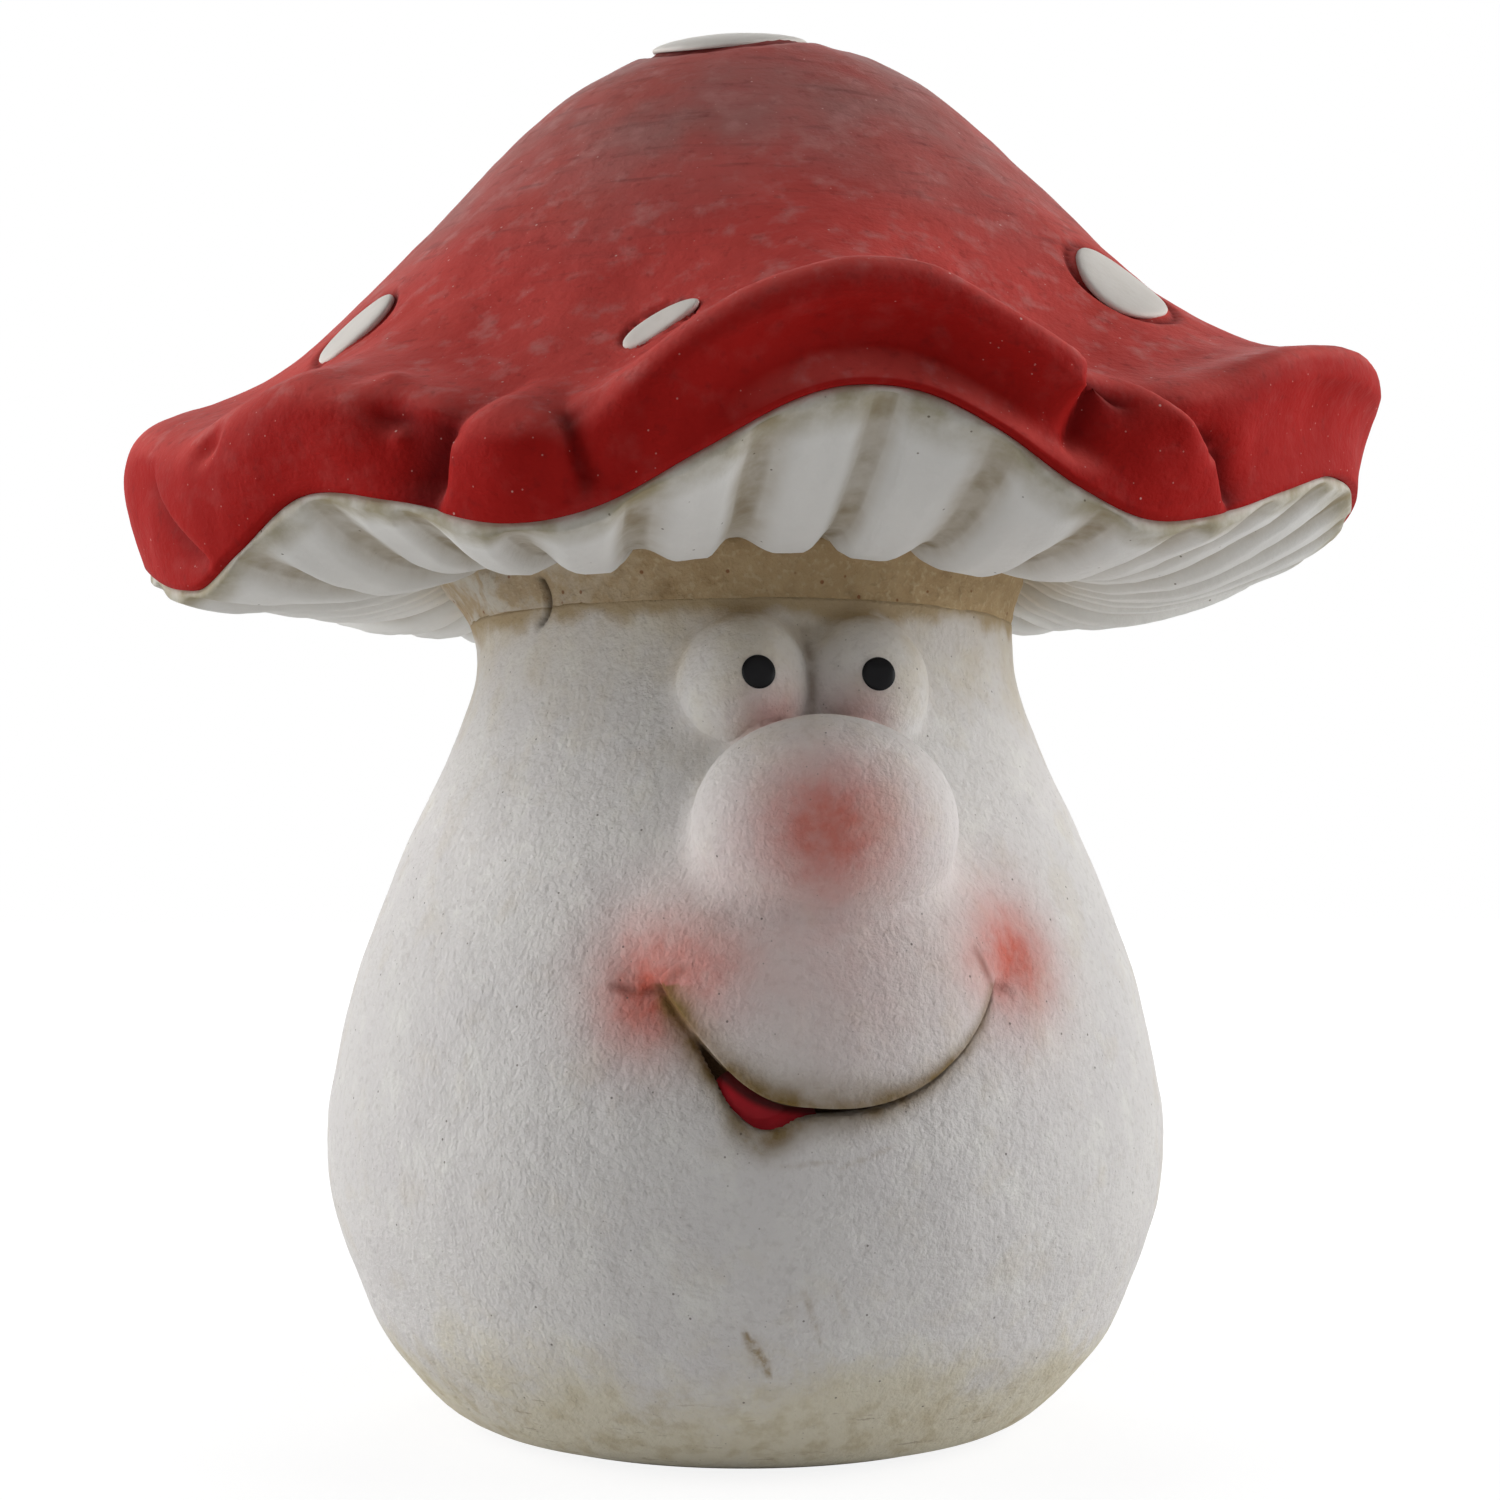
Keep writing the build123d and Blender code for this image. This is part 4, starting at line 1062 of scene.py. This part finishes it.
def cap_paint():
    """Matte red, with dust and a painted sheen where it faces up and towards the crown, brushed dark
    towards the crown, and painted shade in the creases and round the spots.
    """
    p = Paint("cap_paint", 0.65, 0.05)
    up = p.mask("up")
    brush = p.noise(16, 5, p.stretched(1, 1, 0.35))
    fine = p.noise(2.2, 4)
    p.ground(brush, (150, 19, 17), (172, 32, 28))
    # Painted sheen: a paler red wherever the surface faces up.
    sheen_facing_up = p.span(p.upward(), 0, 0.75)
    p.coat((214, 88, 82), sheen_facing_up, p.span(brush, 0.2, 0.8, 0.5, 0.95))
    # Paler and browner towards the crown, partly painted sheen.
    crown = p.span(p.noise(20, 5), 0.3, 0.7, 0.55, 1)
    p.coat((166, 112, 107), p.span(up, 54, 96), crown)
    rust = p.span(p.noise(24, 4), 0.5, 0.7)
    p.coat((178, 62, 50), rust, p.span(up, 30, 60, 0, 0.4))
    # Pale pink dust and painted sheen, strongest where the surface faces up.
    dust_and_sheen = p.span(p.noise(5, 6), 0.5, 0.75)
    p.coat((204, 142, 138), dust_and_sheen, p.span(sheen_facing_up, 0, 1, 0.06, 0.45))
    streaks = p.span(p.noise(6, 6, p.stretched(0.5, 0.5, 4)), 0.52, 0.75)
    p.coat((104, 60, 60), streaks, p.span(up, 45, 75, 0, 0.4))
    p.coat((186, 96, 92), p.mask("ridge"), p.span(fine, 0.35, 0.65, 0.05, 0.3))
    # Painted shade: deep red in the brim's creases and in the pressed ring round every spot.
    deep = p.math("MAXIMUM", p.span(p.mask("crease"), 0.2, 1, 0, 0.8),
                  p.times(p.mask("ring_mark"), 0.85))
    p.coat((84, 6, 8), deep)
    p.coat((88, 22, 24), p.span(fine, 0.56, 0.72), 0.22)
    p.coat((226, 186, 180), p.specks(2.6, 0.14, 0.1), 0.7)
    p.coat((214, 156, 150), p.specks(1.3, 0.16, 0.14), 0.5)
    p.bump((p.noise(3.5, 6), 0.26), (p.noise(0.9, 3), 0.12),
           (p.noise(9, 6, p.stretched(1, 1, 3)), 0.25))
    return p.done()


def stem_paint():
    """Off-white paint with an earthy wash at the foot, the blush, the drawn lines, and painted shade
    in the mouth's gape and in the crack at the neck.
    """
    p = Paint("stem_paint", 0.75, 0.08)
    p.ground(p.noise(18, 4), (218, 214, 214), (229, 227, 223))
    p.coat((237, 236, 230), p.span(p.noise(7, 6), 0.5, 0.72), 0.45)
    p.coat((176, 170, 164), p.span(p.noise(1.4, 4), 0.5, 0.7), 0.22)
    z = p.height()
    patch = p.noise(17, 6, roughness=0.65)
    foot = p.math("ADD", p.span(z, 0.036, 0.004), p.span(patch, 0.3, 0.7, -0.3, 0.3))
    p.coat((220, 211, 182), p.span(foot, 0.25, 0.95, 0, 0.65))
    mottle = p.span(p.noise(4, 6), 0.45, 0.7)
    p.coat((178, 160, 118), mottle, p.span(z, 0.024, 0.008, 0, 0.42))
    scratches = p.span(p.noise(3.2, 5, p.stretched(0.4, 0.4, 3.2), 0.7), 0.6, 0.7)
    p.coat((136, 112, 74), scratches, p.span(z, 0.02, 0.01, 0, 0.5))
    under_cap = p.math("ADD", p.span(z, 0.108, 0.142, 0, 0.7),
                       p.span(p.noise(10, 6), 0.35, 0.75, -0.3, 0.3))
    p.coat((202, 186, 150), under_cap, 0.55)
    neck_edge = p.math("ADD", z, p.span(p.noise(9, 5), 0.2, 0.8, -0.0022, 0.0022))
    p.coat((176, 154, 118), p.span(neck_edge, 0.1348, 0.1385, 0, 0.9))
    p.coat((204, 95, 76), p.mask("blush"), p.span(p.noise(3, 5), 0.2, 0.8, 0.75, 1))
    p.coat((122, 99, 56), p.mask("wash"), p.span(p.noise(6, 5), 0.3, 0.7, 0.6, 1))
    p.coat((122, 100, 80), p.mask("seam"), p.span(p.noise(3, 5), 0.3, 0.7, 0.4, 0.85))
    p.coat((122, 66, 50), p.mask("crease"), 0.6)
    p.coat((150, 126, 84), p.mask("stain"), p.span(p.noise(1.5, 4), 0.35, 0.65, 0.25, 0.85))
    # Near-black in the mouth's cut, partly a drawn line and partly painted shade in the gape under
    # the lip; painted shade in the crack.
    p.coat((52, 36, 20), p.math("MAXIMUM", p.span(p.mask("line"), 0.3, 0.8),
                                p.times(p.mask("crack"), 0.8)))
    p.coat((96, 86, 78), p.specks(3.2, 0.5, 0.08), 0.75)
    p.coat((124, 112, 102), p.specks(1.6, 0.35, 0.11), 0.5)
    p.bump((p.noise(1.3, 4), 0.34), (p.noise(0.6, 2), 0.14), (p.noise(5, 5), 0.35))
    return p.done()


def gill_paint():
    """Off-white gills with a tan wash in the channels, towards the neck and along the rim; in the
    channels and along the rim it is partly painted shade.
    """
    p = Paint("gill_paint", 0.75, 0.08)
    p.ground(p.noise(12, 4), (222, 221, 217), (234, 233, 229))
    groove = p.mask("groove")
    # Tan wash in the channels, darker in their depths: partly wash, partly painted shade.
    p.coat((166, 152, 126), p.span(groove, 0.2, 1), p.span(p.noise(7, 4), 0.3, 0.7, 0.3, 0.6))
    p.coat((140, 124, 94), p.span(groove, 0.8, 1), p.span(p.noise(8, 4), 0.35, 0.7, 0.2, 0.75))
    p.coat((178, 160, 124), p.span(p.mask("inward"), 0.72, 1), 0.75)
    # Along the rim: tan wash, partly a painted shadow under the red edge.
    p.coat((152, 140, 106), p.mask("rim"), p.span(p.noise(7, 5), 0.3, 0.7, 0.3, 0.85))
    p.coat((96, 86, 68), p.specks(3, 0.35, 0.09), 0.8)
    p.bump((p.noise(1.6, 4), 0.16), (p.noise(4, 5), 0.3))
    return p.done()


def slip_paint():
    """Khaki slip, grainy and specked with rust, with white paint brushed over its lump and painted
    shade in its crack.
    """
    p = Paint("slip", 0.8, 0.06)
    p.ground(p.noise(5, 5), (162, 134, 96), (200, 176, 138))
    grain = p.noise(1.1, 4)
    p.coat((206, 188, 154), p.span(grain, 0.5, 0.7), 0.5)
    p.coat((128, 104, 72), p.span(p.noise(6, 6), 0.55, 0.75), 0.5)
    p.coat((208, 202, 190), p.mask("white"), p.span(p.noise(5, 6), 0.4, 0.6, 0.25, 0.95))
    p.coat((126, 72, 44), p.specks(2.2, 0.35, 0.2), 0.75)
    # Painted shade in the crack.
    p.coat((54, 40, 26), p.mask("crack"), 0.85)
    p.bump((grain, 0.45), (p.noise(3, 4), 0.6))
    return p.done()


def tongue_paint():
    """Satin crimson, dark where it goes in under the lip."""
    p = Paint("tongue_paint", 0.45, 0.12)
    p.ground(p.noise(3, 4), (150, 20, 32), (188, 34, 44))
    p.coat((46, 12, 10), p.mask("lip_shade"), 0.9)
    p.bump((p.noise(1.5, 3), 0.1))
    return p.done()


def plain_paint(name, colour, other, roughness):
    """One plain colour with a faint cloud in it."""
    p = Paint(name, roughness, 0.1)
    p.ground(p.noise(3, 4), colour, other)
    p.bump((p.noise(1.5, 3), 0.08))
    return p.done()


def dress():
    """Gives every piece the material of its slot."""
    materials = {
        "cap_paint": cap_paint(), "stem_paint": stem_paint(), "gill_paint": gill_paint(),
        "slip": slip_paint(), "tongue_paint": tongue_paint(),
        "spot_paint": plain_paint("spot_paint", (226, 220, 212), (238, 234, 228), 0.6),
        "pupil_paint": plain_paint("pupil_paint", (16, 16, 18), (28, 28, 30), 0.35),
    }
    for piece in bpy.data.objects:
        if "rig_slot" in piece:
            piece.data.materials.append(materials[piece["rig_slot"]])


# Stage

def floor():
    """A pale matt floor that shows soft shadows near the foot and white further out."""
    half = FLOOR_HALF
    mesh = bpy.data.meshes.new("floor")
    mesh.from_pydata([(-half, -half, 0), (half, -half, 0), (half, half, 0), (-half, half, 0)], [],
                     [(0, 1, 2, 3)])
    plane = in_scene("floor", mesh)
    p = Paint("floor", FLOOR_ROUGHNESS, 0.0)
    p.shader.inputs["Base Color"].default_value = FLOOR_COLOUR
    far = p.node("ShaderNodeVectorMath", {0: p.place}, operation="LENGTH").outputs["Value"]
    fade = p.span(far, *FLOOR_FADE, kind="LINEAR")
    glow = p.node("ShaderNodeEmission", {"Strength": FLOOR_GLOW})
    p.show("Material Output", p.times(p.background_rays(), fade), p.shader, glow)
    mesh.materials.append(p.material)


def world():
    """Faint even light, with a white background."""
    backdrop = bpy.data.worlds.new("studio")
    bpy.context.scene.world = backdrop
    n = Nodes(backdrop)
    light = n.tree.nodes["Background"]
    light.inputs["Strength"].default_value = WORLD_STRENGTH
    white = n.node("ShaderNodeBackground")
    for colour in (light, white):
        colour.inputs["Color"].default_value = (1, 1, 1, 1)
    n.show("World Output", n.background_rays(), light, white)


def lamp(name, azimuth, elevation, distance, size, watts):
    """A square soft light that looks at the middle of the ornament."""
    data = bpy.data.lights.new(name, "AREA")
    data.size = size
    data.energy = watts
    lamp_object = in_scene(name, data)
    lift = math.radians(elevation)
    back = Vector(turned(math.cos(lift), azimuth, math.sin(lift)))
    lamp_object.location = Vector((0, 0, LAMP_AIM_HEIGHT)) + back * distance
    lamp_object.rotation_euler = (-back).to_track_quat("-Z", "Y").to_euler()


def lights():
    """The lamps, placed from the camera's azimuth."""
    for name, azimuth, elevation, distance, width, watts in LAMPS:
        lamp(name, CAMERA_AZIMUTH + azimuth, elevation, distance, width, watts)


def camera():
    """The camera that took the photograph, as fitted to it."""
    data = bpy.data.cameras.new("camera")
    data.sensor_width = SENSOR_WIDTH
    data.lens = LENS_LENGTH
    data.clip_start = 0.01
    seer = in_scene("camera", data)
    seer.location = turned(CAMERA_DISTANCE, CAMERA_AZIMUTH, CAMERA_HEIGHT) * MM
    heading = math.radians(CAMERA_AZIMUTH - CAMERA_YAW)
    seer.rotation_euler = (math.radians(90 + CAMERA_PITCH), 0, heading)
    bpy.context.scene.camera = seer
    bpy.context.scene.view_settings.view_transform = "Standard"


cap()
spots()
gills()
stem()
face()
pupils()
neck_bead()
dress()
floor()
world()
lights()
camera()
